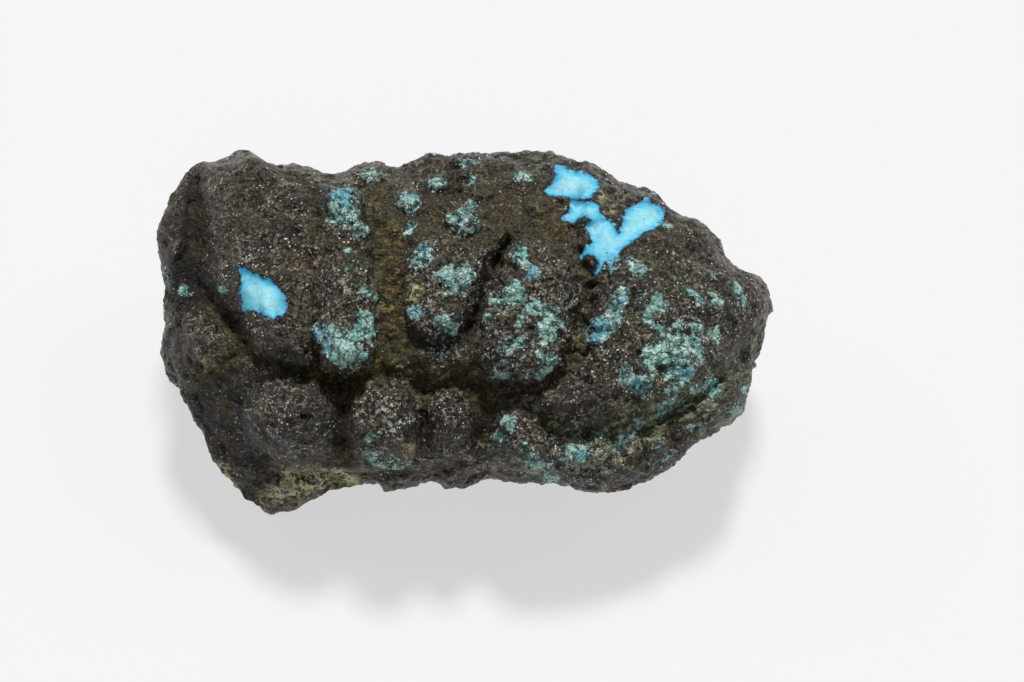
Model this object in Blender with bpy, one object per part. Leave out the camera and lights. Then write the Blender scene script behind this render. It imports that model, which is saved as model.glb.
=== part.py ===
"""A turquoise nodule: one solid of grown lobes that rests on a small flat underneath.

The stone is laid out on its show face, a plane tilted back over the ground. S runs to
the right on it, T runs up it and H stands out of it, all in millimetres. Lengths across
the face shrink a little as H grows, because they were read along lines that meet at SIGHT.
"""

import math
import random

import bpy
import numpy as np
from mathutils import Vector, noise

MM = 0.001
NAME = "turquoise_nodule"

# Show face: its tilt from the vertical, and its place over the ground.
TILT = math.radians(48.5)
SIGHT = 355.6
SIGHT_S = 8.0
FACE_X = 8.3
FACE_Y = 2.2
FACE_Z = 11.5

# Body under the lobes: centre on the show face, half-length and half-width on it.
CENTRE_S = 0.0
CENTRE_T = 3.0
HALF_LENGTH = 51.0
HALF_WIDTH = 28.0
RIM_H = 8.5
RIM_SLOPE = -0.43
FRONT_RISE = 21.0
BACK_RISE = 24.8
ROUNDING = 0.80
CORNER_DROP = 8.0

# Depth by which the low front lies back under the upper lobes, from T to T, left of S.
LOW_FRONT_DEPTH = 2.6
LOW_FRONT_T = (-2.5, -8.5)
LOW_FRONT_S = (12.0, 4.0)

# Grid on the body before its faces are thinned, and the faces that are kept.
CELLS = (120, 70, 52)
KEPT_TRIANGLES = 9600

OUTLINE = (
    (-50.3, 1), (-50.0, 9), (-51.4, 17), (-49.6, 22), (-48, 25.5), (-45, 29.2), (-40.5, 30),
    (-36.5, 31.8), (-32.3, 29.3), (-27.5, 29.5), (-22.5, 27.9), (-18, 29), (-14.5, 30.1),
    (-10.5, 29), (-5, 31.2), (-3, 30.5), (-1, 31.4), (3, 31), (8, 31.7), (15.5, 30.8),
    (21.5, 29.8), (27, 26.5), (32, 24.6), (35.5, 21.4), (39.5, 19.9), (41.5, 18),
    (44.5, 12.7), (49.5, 10.3), (51.2, 5), (49.2, -1), (47.4, -7.5), (46, -12),
    (41, -15.5), (37.7, -17.3), (33, -21.8), (26.5, -24.4), (21, -25), (12, -23.6),
    (4, -23.2), (-2, -24.7), (-5.5, -23.2), (-12, -25), (-15.5, -23.6), (-23.7, -25.3),
    (-29, -28.2), (-33.5, -28), (-40.5, -21.5), (-44.2, -14.2), (-47.5, -9.2), (-49.8, -4),
)

# Steepness of a lobe at its edge: 0.5 stands upright there, 1 slopes like a flat dish.
EDGE_ROUNDING = 0.62

# Lobes with a drawn edge: name, height, distance over which the edge rounds over, share by
# which the lower end stands prouder than the upper end, edge.
LOBES = (
    ("shoulder", 5.2, 8.0, 0.10, (
        (-42.8, 34), (-43.9, 23), (-42.6, 17), (-43, 12.5), (-41.3, 8), (-38.5, 3.5),
        (-34.5, -2), (-29, -3.7), (-25.3, -4.8), (-24.9, -1), (-26.9, 5), (-26.4, 14),
        (-25.4, 24), (-24.5, 34))),
    ("finger", 5.2, 5.5, 0.15, (
        (-24.2, 34), (-25, 24), (-25.9, 14), (-26.3, 5), (-24.6, -1), (-24.3, -4.8),
        (-20, -5.8), (-16, -4.2), (-14.4, -1), (-14.6, 4), (-14.9, 12), (-15.6, 20),
        (-17, 25), (-18.5, 34))),
    ("shoulder_saddle", 3.4, 5.0, 0.10, (
        (-40, 38), (-40.5, 22), (-39.2, 10), (-34, 2.5), (-29, -1), (-22, -2.4), (-17.6, 0),
        (-17.6, 10), (-18.2, 20), (-20, 38))),
    ("centre", 4.4, 4.8, 0.10, (
        (-9.5, 17), (-6, 18.4), (-1, 17.6), (3, 16.6), (6, 16.2), (4.3, 13), (3.0, 9.2),
        (2.0, 6), (0.4, 2.6), (-2, 0.6), (-5, -0.5), (-8.3, 1), (-9.7, 4), (-10.5, 8))),
    ("right_of_centre", 5.2, 6.0, 0.10, (
        (8, 16.9), (12, 18), (16, 16.4), (18.7, 12), (19.4, 8), (18.4, 3), (17.6, 0),
        (16.6, -3), (14, -5.7), (11.5, -7.2), (8.5, -7), (5, -6.2), (2.9, -4),
        (2.3, -1), (2.9, 3), (4.3, 8), (5.9, 12))),
    ("great_right", 4.0, 9.0, 0.0, (
        (19, 20), (19.4, 14), (20.8, 11), (21.2, 5), (20.6, 0), (19, -4), (15, -7),
        (11.8, -9.4), (12.7, -11.8), (15.5, -14.2), (19, -15.2), (25, -14.2), (31, -12.6),
        (38, -9.6), (44, -5.2), (48, 0.2), (54, 5), (56, 12), (46, 26), (30, 32), (22, 27))),
    ("left_band", 2.3, 4.5, 0.0, (
        (-56, 33), (-47, 30), (-45.8, 24), (-46.5, 18), (-46.2, 12), (-46.9, 6), (-48.5, 2),
        (-56, -1))),
    ("low_middle_swell", 3.0, 6.0, 0.20, (
        (5.2, -12.5), (9, -10.8), (12, -13), (15, -15.6), (19, -16.8), (24, -16.2),
        (24.5, -19.5), (17, -22), (10, -22), (6, -20.5), (4.4, -16.5))),
    ("right_tongue", 3.0, 4.5, 0.0, (
        (45.5, -5.2), (52, -6), (50, -13), (42, -19), (34, -21), (30, -17.5), (30.5, -14.6),
        (38, -11.3))),
)

# Knobs with an oval edge: place S and T, half-width, half-height, height.
KNOBS = (
    (-28.6, -13.6, 9.0, 8.2, 5.6), (-13.4, -13.8, 7.0, 8.0, 6.0), (-2.3, -14.0, 4.3, 6.6, 4.6),
    (-15.5, 28.0, 3.2, 2.4, 2.2), (-20.2, 22.8, 4.4, 3.8, 1.4), (-17.0, 18.4, 2.0, 1.7, 1.0),
    (-9.0, 23.6, 2.5, 2.5, 1.9), (-4.8, 27.0, 3.2, 2.9, 2.3), (-1.0, 30.3, 2.2, 1.8, 1.6),
    (3.4, 27.2, 4.6, 3.7, 2.6), (0.0, 20.4, 3.4, 2.8, 2.4), (9.6, 27.2, 3.7, 2.9, 1.9),
    (12.6, 22.6, 2.7, 2.4, 1.4), (18.2, 26.2, 5.8, 3.7, 2.6), (20.2, 21.3, 3.6, 2.3, 1.2),
    (-42.6, 0.4, 5.6, 4.4, 3.2), (-48.0, 15.5, 1.9, 1.9, 1.2), (-36.5, 29.0, 4.5, 2.4, 1.2),
    (28.5, -19.6, 8.0, 4.2, 2.0), (-0.5, -2.6, 2.6, 2.2, 1.2), (-7.0, -2.6, 2.4, 1.8, 0.9),
    (-12.5, -23.2, 3.4, 1.5, 1.0), (-2.2, -23.0, 3.2, 1.5, 1.0), (-30.0, -25.0, 7.0, 2.6, 1.3),
)

KNOB_ROUNDING = 0.9

# Furrows between the lobes: depth, half-width, and the line that each follows.
FURROWS = (
    (3.4, 0.8, ((7.4, 16.6), (6.6, 15.3), (5.6, 13.2))),
    (1.5, 1.1, ((5.6, 13.2), (4.6, 11), (3.4, 7), (2.1, 4.2), (1.0, 1.6))),
    (0.7, 1.3, ((-9.8, 17), (-10.1, 13), (-10.9, 7), (-10, 3.8), (-8.5, 1.5))),
    (1.0, 1.7, ((-38.6, 2.4), (-37, -0.8), (-33, -3.6), (-28, -5), (-20, -6.8))),
    (3.2, 2.0, ((-45, 26), (-44.9, 20), (-44.7, 14), (-44, 9), (-41.5, 5), (-39, 2.4))),
    (1.4, 0.8, ((-1.5, 29), (-1.5, 26), (-0.6, 23.8))),
    (0.7, 1.5, ((20.1, 12), (20.4, 8), (19.7, 2), (18.3, -3), (15, -6.6), (10, -8.6))),
    (0.8, 1.5, ((-20.4, -7), (-20.5, -14), (-19.4, -20.4))),
    (0.6, 1.3, ((-7, -8), (-6.4, -14), (-6.8, -20))),
    (0.8, 1.4, ((2.4, -8), (3, -14), (3, -19.5))),
    (0.9, 0.9, ((-30, -20.8), (-25, -22), (-19, -22.6), (-13, -22.4), (-6, -21.4))),
    (1.1, 1.2, ((-25.2, 27), (-25.6, 20), (-26.3, 10), (-26, 2), (-24.6, -3))),
)

# Lobes on the hidden side: how many, their radius, their height, their roundness.
HIDDEN_LOBES = 60
HIDDEN_RADIUS = (8.0, 14.0)
HIDDEN_HEIGHT = 4.2
HIDDEN_ROUNDING = 0.75
HIDDEN_SEED = 11

# Unevenness of the whole skin: height of the swells and the lengths that they repeat over.
SWELL_HEIGHT = 0.55
SWELL_LENGTH = 7.0
LUMP_HEIGHT = 0.55
LUMP_LENGTH = 3.2

# Points this near the ground belong to the flat that the stone rests on.
FLAT_WITHIN = 0.06

CRUST_COLOUR = (0.045, 0.038, 0.033, 1.0)
CRUST_ROUGHNESS = 0.6


def smooth_step(value, low, high):
    """Rises from 0 at low to 1 at high with no kink."""
    x = np.clip((value - low) / (high - low), 0.0, 1.0)
    return x * x * (3.0 - 2.0 * x)


def rounded(points, closed, steps=4):
    """Catmull-Rom curve through hand-placed points, as straight runs."""
    points = np.array(points, float)
    if closed:
        padded = np.vstack([points[-1:], points, points[:2]])
    else:
        padded = np.vstack([2 * points[0] - points[1], points, 2 * points[-1] - points[-2]])
    t = np.linspace(0.0, 1.0, steps, endpoint=False)[:, None]
    runs = []
    for a, b, c, d in zip(padded, padded[1:], padded[2:], padded[3:]):
        bend = (2 * a - 5 * b + 4 * c - d) * t**2 + (3 * b - a - 3 * c + d) * t**3
        runs.append(0.5 * (2 * b + (c - a) * t + bend))
    curve = np.vstack(runs)
    return curve if closed else np.vstack([curve, points[-1:]])


def line_distance(places, line, closed):
    """Distance from each place to a line of straight runs."""
    ends = np.roll(line, -1, axis=0) if closed else line[1:]
    nearest = np.full(len(places), np.inf)
    for start, end in zip(line, ends):
        along = end - start
        away = places - start
        share = np.clip(away @ along / max(along @ along, 1e-9), 0.0, 1.0)
        nearest = np.minimum(nearest, np.linalg.norm(away - share[:, None] * along, axis=1))
    return nearest


def is_inside(places, line):
    """True for each place that a closed line goes round."""
    odd = np.zeros(len(places), bool)
    for (s0, t0), (s1, t1) in zip(line, np.roll(line, -1, axis=0)):
        if t0 == t1:
            continue
        crosses = (places[:, 1] > min(t0, t1)) & (places[:, 1] <= max(t0, t1))
        odd ^= crosses & (places[:, 0] < s0 + (places[:, 1] - t0) * (s1 - s0) / (t1 - t0))
    return odd


def cuboid_grid(cells):
    """Unit directions and square faces of a closed box grid blown up to a sphere."""
    nx, ny, nz = cells
    index = {}
    places = []
    quads = []

    def corner(i, j, k):
        key = (i, j, k)
        if key not in index:
            index[key] = len(places)
            places.append([math.tan((2 * v / n - 1) * math.pi / 4) for v, n in zip(key, cells)])
        return index[key]

    for k, flip in ((0, True), (nz, False)):
        for i in range(nx):
            for j in range(ny):
                quad = [corner(i, j, k), corner(i + 1, j, k), corner(i + 1, j + 1, k), corner(i, j + 1, k)]
                quads.append(quad[::-1] if flip else quad)
    for j, flip in ((0, False), (ny, True)):
        for i in range(nx):
            for k in range(nz):
                quad = [corner(i, j, k), corner(i + 1, j, k), corner(i + 1, j, k + 1), corner(i, j, k + 1)]
                quads.append(quad[::-1] if flip else quad)
    for i, flip in ((0, True), (nx, False)):
        for j in range(ny):
            for k in range(nz):
                quad = [corner(i, j, k), corner(i, j + 1, k), corner(i, j + 1, k + 1), corner(i, j, k + 1)]
                quads.append(quad[::-1] if flip else quad)
    places = np.array(places)
    return places / np.linalg.norm(places, axis=1)[:, None], np.array(quads)


def outline_reach(angles, spread):
    """How far the outline lies from the centre at each angle, as a share of the half-sizes."""
    curve = rounded(OUTLINE, closed=True)
    across = (curve[:, 0] - CENTRE_S) / HALF_LENGTH
    up = (curve[:, 1] - CENTRE_T) / HALF_WIDTH
    turn = np.arctan2(up, across)
    order = np.argsort(turn)
    turn, reach = turn[order], np.hypot(across, up)[order]
    if spread:
        weights = np.exp(-0.5 * (np.angle(np.exp(1j * (turn[:, None] - turn))) / spread) ** 2)
        gaps = np.abs(np.gradient(np.unwrap(turn)))
        reach = (weights * gaps) @ reach / (weights @ gaps)
    return np.interp(angles, turn, reach, period=2 * math.pi)


def body_on_face(directions, sharpness):
    """S, T and H of the body in each direction, with this share of the outline's own bumps."""
    facing = directions[:, 2]
    angles = np.arctan2(directions[:, 1], directions[:, 0])
    share = np.hypot(directions[:, 0], directions[:, 1])
    sharp = sharpness * smooth_step(share, 0.72, 1.0)
    reach = (1 - sharp) * outline_reach(angles, 0.35) + sharp * outline_reach(angles, 0.0)
    s = CENTRE_S + HALF_LENGTH * share * reach * np.cos(angles)
    t = CENTRE_T + HALF_WIDTH * share * reach * np.sin(angles)
    corner = np.exp(-(((s + 32) / 13) ** 2) - ((t + 28) / 9) ** 2)
    rim = RIM_H + RIM_SLOPE * (t - CENTRE_T) - CORNER_DROP * corner
    rise = np.where(facing > 0, FRONT_RISE, BACK_RISE)
    return s, t, rim + rise * np.sign(facing) * np.abs(facing) ** ROUNDING


def lobe_relief(places):
    """Height of the drawn lobes, knobs and furrows at each place on the show face."""
    lying_back = smooth_step(-places[:, 1], -LOW_FRONT_T[0], -LOW_FRONT_T[1])
    lying_back *= smooth_step(-places[:, 0], -LOW_FRONT_S[0], -LOW_FRONT_S[1])
    relief = np.zeros(len(places))
    for _, height, edge, lean, drawn in LOBES:
        curve = rounded(drawn, closed=True)
        inside = np.where(is_inside(places, curve), line_distance(places, curve, True), 0.0)
        climb = 1.0 - np.minimum(inside / edge, 1.0)
        low, high = curve[:, 1].min(), curve[:, 1].max()
        proud = 1.0 + lean * np.clip(1.0 - 2.0 * (places[:, 1] - low) / (high - low), -1.0, 1.0)
        relief = np.maximum(relief, height * proud * (1.0 - climb**2) ** EDGE_ROUNDING)
    for s, t, half_s, half_t, height in KNOBS:
        off = ((places[:, 0] - s) / half_s) ** 2 + ((places[:, 1] - t) / half_t) ** 2
        relief += height * np.clip(1.0 - off, 0.0, 1.0) ** KNOB_ROUNDING
    for depth, half_width, drawn in FURROWS:
        away = line_distance(places, rounded(drawn, closed=False), False)
        relief -= depth * np.exp(-((away / half_width) ** 2))
    return relief - LOW_FRONT_DEPTH * lying_back


def vertex_normals(points, quads):
    """Unit normal at each point, from the faces round it."""
    across = points[quads[:, 2]] - points[quads[:, 0]]
    other = points[quads[:, 3]] - points[quads[:, 1]]
    normals = np.zeros_like(points)
    for corner in range(4):
        np.add.at(normals, quads[:, corner], np.cross(across, other))
    return normals / np.linalg.norm(normals, axis=1)[:, None]


def on_ground(s, t, h):
    """Turns S, T and H on the show face into X, Y and Z over the ground, in millimetres."""
    shrink = 1.0 - h / SIGHT
    x = FACE_X + (s - SIGHT_S) * shrink
    y = FACE_Y + t * shrink * math.sin(TILT) - h * math.cos(TILT)
    z = FACE_Z + t * shrink * math.cos(TILT) + h * math.sin(TILT)
    return np.stack([x, y, z], axis=1)


def hidden_relief(points):
    """Height of the seeded round lobes on the side away from the show face."""
    dice = random.Random(HIDDEN_SEED)
    middle = points.mean(axis=0)
    reach = points.max(axis=0) - middle
    relief = np.zeros(len(points))
    for _ in range(HIDDEN_LOBES):
        aim = np.array([dice.gauss(0, 1) for _ in range(3)])
        aim *= reach / np.linalg.norm(aim)
        top = points[np.argmin(np.linalg.norm(points - middle - aim, axis=1))]
        radius = dice.uniform(*HIDDEN_RADIUS)
        off = np.linalg.norm(points - top, axis=1) / radius
        height = HIDDEN_HEIGHT * dice.uniform(0.6, 1.0)
        relief = np.maximum(relief, height * np.clip(1.0 - off**2, 0.0, 1.0) ** HIDDEN_ROUNDING)
    return relief


def unevenness(points, length, octaves):
    """Seedless smooth unevenness between about -1 and 1, repeating over about one length."""
    return np.array([noise.fractal(Vector(p / length), 1.0, 2.0, octaves) for p in points])


def nodule_points(cells):
    """Points and square faces of the whole stone, in millimetres over the ground."""
    directions, quads = cuboid_grid(cells)
    facing = directions[:, 2]
    normals = vertex_normals(on_ground(*body_on_face(directions, 0.0)), quads)
    s, t, h = body_on_face(directions, 1.0)
    shown = smooth_step(facing, 0.0, 0.30)
    points = on_ground(s, t, h + shown * lobe_relief(np.stack([s, t], axis=1)))
    hidden = smooth_step(-facing, -0.05, 0.30) * smooth_step(points[:, 2], 0.5, 5.0)
    points += normals * (hidden * (hidden_relief(points) - HIDDEN_HEIGHT))[:, None]
    uneven = SWELL_HEIGHT * unevenness(points, SWELL_LENGTH, 2)
    uneven += LUMP_HEIGHT * unevenness(points + 40.0, LUMP_LENGTH, 2)
    points += normals * uneven[:, None]
    points[:, 2] = np.maximum(points[:, 2], 0.0)
    return points, quads


def crust_material():
    """Dull dark crust of the whole stone."""
    material = bpy.data.materials.new("dark_crust")
    material.use_nodes = True
    shader = material.node_tree.nodes["Principled BSDF"]
    shader.inputs["Base Color"].default_value = CRUST_COLOUR
    shader.inputs["Roughness"].default_value = CRUST_ROUGHNESS
    shader.inputs["Metallic"].default_value = 0.0
    material.diffuse_color = CRUST_COLOUR
    return material


def thinned(stone, ratio):
    """The stone's mesh with fewer faces where it is plain, and its underneath flat again."""
    thin = stone.modifiers.new("thin_plain_faces", "DECIMATE")
    thin.ratio = ratio
    thin.use_collapse_triangulate = True
    mesh = bpy.data.meshes.new_from_object(stone.evaluated_get(bpy.context.evaluated_depsgraph_get()))
    stone.modifiers.remove(thin)
    for vertex in mesh.vertices:
        if vertex.co.z < FLAT_WITHIN * MM:
            vertex.co.z = 0.0
    return mesh


def make_nodule():
    """The stone as one object."""
    points, quads = nodule_points(CELLS)
    mesh = bpy.data.meshes.new(NAME)
    mesh.from_pydata((points * MM).tolist(), [], quads.tolist())
    stone = bpy.data.objects.new(NAME, mesh)
    bpy.context.collection.objects.link(stone)
    stone.data = thinned(stone, KEPT_TRIANGLES / (2 * len(quads)))
    stone.data.materials.append(crust_material())
    stone.data.shade_smooth()
    return stone


def clear_scene():
    """Removes whatever the file opened with."""
    for old in list(bpy.data.objects):
        bpy.data.objects.remove(old, do_unlink=True)


def main():
    """Clears the scene and makes the stone."""
    clear_scene()
    make_nodule()


main()
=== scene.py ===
"""The look of a turquoise nodule: a dark lobed crust with windows of sky-blue stone.

The stone is laid out on its show face, a plane tilted back over the ground. S runs to the
right on it, T runs up it and H stands out of it, all in millimetres. The skin is a fine
copy of the solid's lobes with the crust's own grain, pits and layers worked into it, and
small crystals are scattered over it by Geometry Nodes.
"""

from __future__ import annotations

import logging
import math
import random
from dataclasses import dataclass, field
from enum import Enum

import bpy
import numpy as np
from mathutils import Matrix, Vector, noise

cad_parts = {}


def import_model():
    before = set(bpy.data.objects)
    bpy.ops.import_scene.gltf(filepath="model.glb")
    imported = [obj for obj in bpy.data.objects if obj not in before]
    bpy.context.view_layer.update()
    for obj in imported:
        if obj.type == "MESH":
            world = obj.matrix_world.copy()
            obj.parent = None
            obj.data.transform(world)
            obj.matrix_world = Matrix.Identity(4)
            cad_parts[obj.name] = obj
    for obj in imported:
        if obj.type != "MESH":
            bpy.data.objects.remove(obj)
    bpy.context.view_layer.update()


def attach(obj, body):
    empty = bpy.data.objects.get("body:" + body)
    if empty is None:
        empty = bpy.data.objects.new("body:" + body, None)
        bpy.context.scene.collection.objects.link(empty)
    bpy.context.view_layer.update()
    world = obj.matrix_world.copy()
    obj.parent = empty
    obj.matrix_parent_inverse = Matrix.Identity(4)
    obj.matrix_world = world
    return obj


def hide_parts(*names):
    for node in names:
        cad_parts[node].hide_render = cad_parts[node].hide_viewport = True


MM = 0.001
BODY = "root"
NODE = "turquoise_nodule"

LOG = logging.getLogger("turquoise")

# How squarely a lobe's side meets its top: 0.5 is round, and 1 slopes like a bowl.
EDGE_ROUNDING = 0.62
# How far a patch's finish spreads, as a multiple of its radius.
PATCH_REACH = 1.1
# Share of the depth under the show face that a patch doesn't count as distance.
INWARD_EASE = 0.75
# The way in which the layers at the lower right run over the ground.
STREAK_WAY = (0.86, 0.39, 0.34)
# How much the layers' pattern is drawn out along that way, as a share of its length.
STREAK_STRETCH = 0.85
# Shift that reads the unevenness from another place, so that two patterns don't match.
ELSEWHERE = 40.0
# Farther than any point of the stone is from another, in millimetres.
FAR = 1e3

MIXED = {"data_type": "RGBA"}
SMOOTH = {"interpolation_type": "SMOOTHSTEP"}
SUM = {"operation": "ADD"}
TIMES = {"operation": "MULTIPLY"}
PRODUCT = {"operation": "MULTIPLY", "use_clamp": True}
TIMES_AND_SUM = {"operation": "MULTIPLY_ADD"}

Points = tuple[tuple[float, float], ...]
Socket = bpy.types.NodeSocket
Tree = bpy.types.NodeTree


def smooth_step(value: np.ndarray, low: float, high: float) -> np.ndarray:
    """Rises from 0 at low to 1 at high with no kink.

    Args:
        value: Numbers to turn into shares.
        low: Where the rise starts.
        high: Where the rise ends.

    Returns:
        A share between 0 and 1 for each number.
    """
    x = np.clip((value - low) / (high - low), 0.0, 1.0)
    return x * x * (3.0 - 2.0 * x)


def rounded(points: Points, closed: bool, steps: int = 4) -> np.ndarray:
    """Draws a Catmull-Rom curve through given points.

    Args:
        points: The points on the show face.
        closed: True for an outline, False for a line with two ends.
        steps: Straight runs between two points.

    Returns:
        The curve's points, one row each.
    """
    drawn = np.array(points, float)
    if closed:
        padded = np.vstack([drawn[-1:], drawn, drawn[:2]])
    else:
        padded = np.vstack([2 * drawn[0] - drawn[1], drawn, 2 * drawn[-1] - drawn[-2]])
    t = np.linspace(0.0, 1.0, steps, endpoint=False)[:, None]
    runs = []
    for a, b, c, d in zip(padded, padded[1:], padded[2:], padded[3:]):
        bend = (2 * a - 5 * b + 4 * c - d) * t**2 + (3 * b - a - 3 * c + d) * t**3
        runs.append(0.5 * (2 * b + (c - a) * t + bend))
    curve = np.vstack(runs)
    return curve if closed else np.vstack([curve, drawn[-1:]])


def line_distance(places: np.ndarray, line: np.ndarray, closed: bool) -> np.ndarray:
    """Measures how far each place lies from a line.

    Args:
        places: Places on the show face.
        line: Points joined by straight runs.
        closed: True if the last point joins the first.

    Returns:
        The shortest distance from each place.
    """
    ends = np.roll(line, -1, axis=0) if closed else line[1:]
    nearest = np.full(len(places), np.inf)
    for start, end in zip(line, ends):
        along = end - start
        away = places - start
        share = np.clip(away @ along / max(along @ along, 1e-9), 0.0, 1.0)
        off = away - share[:, None] * along
        nearest = np.minimum(nearest, off[:, 0] ** 2 + off[:, 1] ** 2)
    return np.sqrt(nearest)


def is_inside(places: np.ndarray, line: np.ndarray) -> np.ndarray:
    """Tells which places a closed line goes round.

    Args:
        places: Places on the show face.
        line: The closed line's points.

    Returns:
        True or False for each place.
    """
    odd = np.zeros(len(places), bool)
    for (s0, t0), (s1, t1) in zip(line, np.roll(line, -1, axis=0)):
        if t0 == t1:
            continue
        crosses = (places[:, 1] > min(t0, t1)) & (places[:, 1] <= max(t0, t1))
        odd ^= crosses & (places[:, 0] < s0 + (places[:, 1] - t0) * (s1 - s0) / (t1 - t0))
    return odd


def depth_inside(places: np.ndarray, outline: Points) -> np.ndarray:
    """Measures how deep each place lies inside an outline, below zero outside it."""
    curve = rounded(outline, closed=True)
    distance = line_distance(places, curve, True)
    return np.where(is_inside(places, curve), distance, -distance)


def unevenness(points: np.ndarray, length: float, octaves: int) -> np.ndarray:
    """Gives smooth unevenness that repeats over about one length.

    Args:
        points: Points in millimetres.
        length: The length of one swell, in millimetres.
        octaves: How many finer layers are added.

    Returns:
        A number between about -1 and 1 for each point.
    """
    return np.array([noise.fractal(Vector(p / length), 1.0, 2.0, octaves) for p in points])


def round_grains(points: np.ndarray, length: float) -> np.ndarray:
    """Gives close-packed round grains, 1 at a grain's top and 0 in the gaps."""
    nearest = np.array([noise.voronoi(Vector(p / length))[0][0] for p in points])
    return np.clip(1.0 - (nearest / 0.75) ** 2, 0.0, 1.0)


def vertex_normals(points: np.ndarray, quads: np.ndarray) -> np.ndarray:
    """Finds the unit normal at each point from the faces round it."""
    across = points[quads[:, 2]] - points[quads[:, 0]]
    other = points[quads[:, 3]] - points[quads[:, 1]]
    normals = np.zeros_like(points)
    for corner in range(4):
        np.add.at(normals, quads[:, corner], np.cross(across, other))
    return normals / np.linalg.norm(normals, axis=1)[:, None]


def linear(colour: str) -> tuple[float, float, float, float]:
    """Turns an sRGB hex colour into the linear values that the shaders take."""
    shares = [int(colour[i : i + 2], 16) / 255 for i in (1, 3, 5)]
    lit = [c / 12.92 if c <= 0.04045 else ((c + 0.055) / 1.055) ** 2.4 for c in shares]
    return (*lit, 1.0)


def add_node(
    tree: Tree,
    kind: str,
    settings: dict[str, object] | None = None,
    inputs: dict[int | str, object] | None = None,
) -> bpy.types.Node:
    """Adds a node with its settings and links.

    Args:
        tree: The node tree.
        kind: The node's type name.
        settings: Values for the node's own properties.
        inputs: A value or another node's output socket for each input.

    Returns:
        The new node.
    """
    node = tree.nodes.new(kind)
    for name, value in (settings or {}).items():
        setattr(node, name, value)
    for key, value in (inputs or {}).items():
        if isinstance(value, Socket):
            tree.links.new(value, node.inputs[key])
        else:
            node.inputs[key].default_value = value
    return node


def patchy(
    tree: Tree,
    mm: Socket,
    length: float,
    fineness: tuple[float, float],
    span: tuple[float, float],
    reach: tuple[float, float] = (0.0, 1.0),
) -> Socket:
    """Makes a share that comes and goes in soft patches.

    Args:
        tree: The node tree.
        mm: Object coordinates in millimetres.
        length: The length of one patch, in millimetres.
        fineness: How many finer layers the patches have, and how strong those are.
        span: The noise's value where the share starts, and where it is full.
        reach: The least and the most of the share.

    Returns:
        The share.
    """
    cloud = add_node(tree, "ShaderNodeTexNoise", {}, {
        "Vector": mm, "Scale": 1 / length, "Detail": fineness[0], "Roughness": fineness[1],
    }).outputs[0]
    return add_node(tree, "ShaderNodeMapRange", SMOOTH, {
        "Value": cloud, "From Min": span[0], "From Max": span[1],
        "To Min": reach[0], "To Max": reach[1],
    }).outputs[0]


def toned(
    tree: Tree,
    colour: Socket | tuple[float, ...],
    value: Socket,
    span: tuple[float, float],
    most: float | Socket,
    tone: str,
) -> Socket:
    """Lays a tone over a colour where a value is high.

    Args:
        tree: The node tree.
        colour: The colour below.
        value: What decides where the tone lies.
        span: The value at which the tone starts, and at which it is full.
        most: How much of the colour the full tone covers.
        tone: The tone as an sRGB hex value.

    Returns:
        The colour with the tone on it.
    """
    share = add_node(tree, "ShaderNodeMapRange", SMOOTH, {
        "Value": value, "From Min": span[0], "From Max": span[1], "To Max": most,
    }).outputs[0]
    return add_node(tree, "ShaderNodeMix", MIXED, {
        0: share, 6: colour, 7: linear(tone),
    }).outputs[2]


def start_material(
    name: str,
) -> tuple[bpy.types.Material, bpy.types.Node, Socket]:
    """Starts a material.

    Args:
        name: The material's name.

    Returns:
        The material, its shader, and the object's coordinates in millimetres.
    """
    material = bpy.data.materials.new(name)
    material.use_nodes = True
    tree = material.node_tree
    place = add_node(tree, "ShaderNodeTexCoord").outputs["Object"]
    mm = add_node(tree, "ShaderNodeMapping", {}, {
        "Vector": place, "Scale": (1 / MM,) * 3,
    }).outputs[0]
    return material, tree.nodes["Principled BSDF"], mm


class Trait(Enum):
    """What each point of the skin knows of itself, as named attributes of the mesh."""

    WINDOW = "window_depth"
    AQUA = "aqua_share"
    BLUE = "blue_share"
    SOIL = "soil_share"
    HOLLOW_SHADE = "hollow_shade_share"
    FROST_AND_SHEEN = "frost_and_sheen_share"
    CREAM = "cream_share"
    LAYER = "layer_share"


@dataclass(frozen=True)
class ShowFace:
    """The tilted plane on which the stone is laid out, over the ground."""

    tilt: float = math.radians(48.5)
    sight: float = 355.6
    sight_s: float = 8.0
    ground: tuple[float, float, float] = (8.3, 2.2, 11.5)

    def outward(self) -> Vector:
        """Gives the direction in which the show face looks."""
        return Vector((0.0, -math.cos(self.tilt), math.sin(self.tilt)))

    def eye(self) -> Vector:
        """Gives the place, in metres, from which the show face is seen square on."""
        return (Vector(self.ground) + self.outward() * self.sight) * MM

    def on_ground(self, s: np.ndarray, t: np.ndarray, h: np.ndarray) -> np.ndarray:
        """Turns places on the show face into places over the ground.

        Args:
            s: Distance to the right.
            t: Distance up the face.
            h: Distance out of the face.

        Returns:
            X, Y and Z of each place, in millimetres.
        """
        shrink = 1.0 - h / self.sight
        x = self.ground[0] + (s - self.sight_s) * shrink
        y = self.ground[1] + t * shrink * math.sin(self.tilt) - h * math.cos(self.tilt)
        z = self.ground[2] + t * shrink * math.cos(self.tilt) + h * math.sin(self.tilt)
        return np.stack([x, y, z], axis=1)


@dataclass(frozen=True)
class Lobe:
    """A swelling with a drawn edge that it rounds over."""

    name: str
    height: float
    edge: float
    lean: float
    outline: Points

    def relief(self, places: np.ndarray) -> np.ndarray:
        """Gives the lobe's height at each place on the show face."""
        climb = 1.0 - np.clip(depth_inside(places, self.outline) / self.edge, 0.0, 1.0)
        curve = rounded(self.outline, closed=True)
        low, high = curve[:, 1].min(), curve[:, 1].max()
        downward = np.clip(1.0 - 2.0 * (places[:, 1] - low) / (high - low), -1.0, 1.0)
        return self.height * (1.0 + self.lean * downward) * (1.0 - climb**2) ** EDGE_ROUNDING


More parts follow.
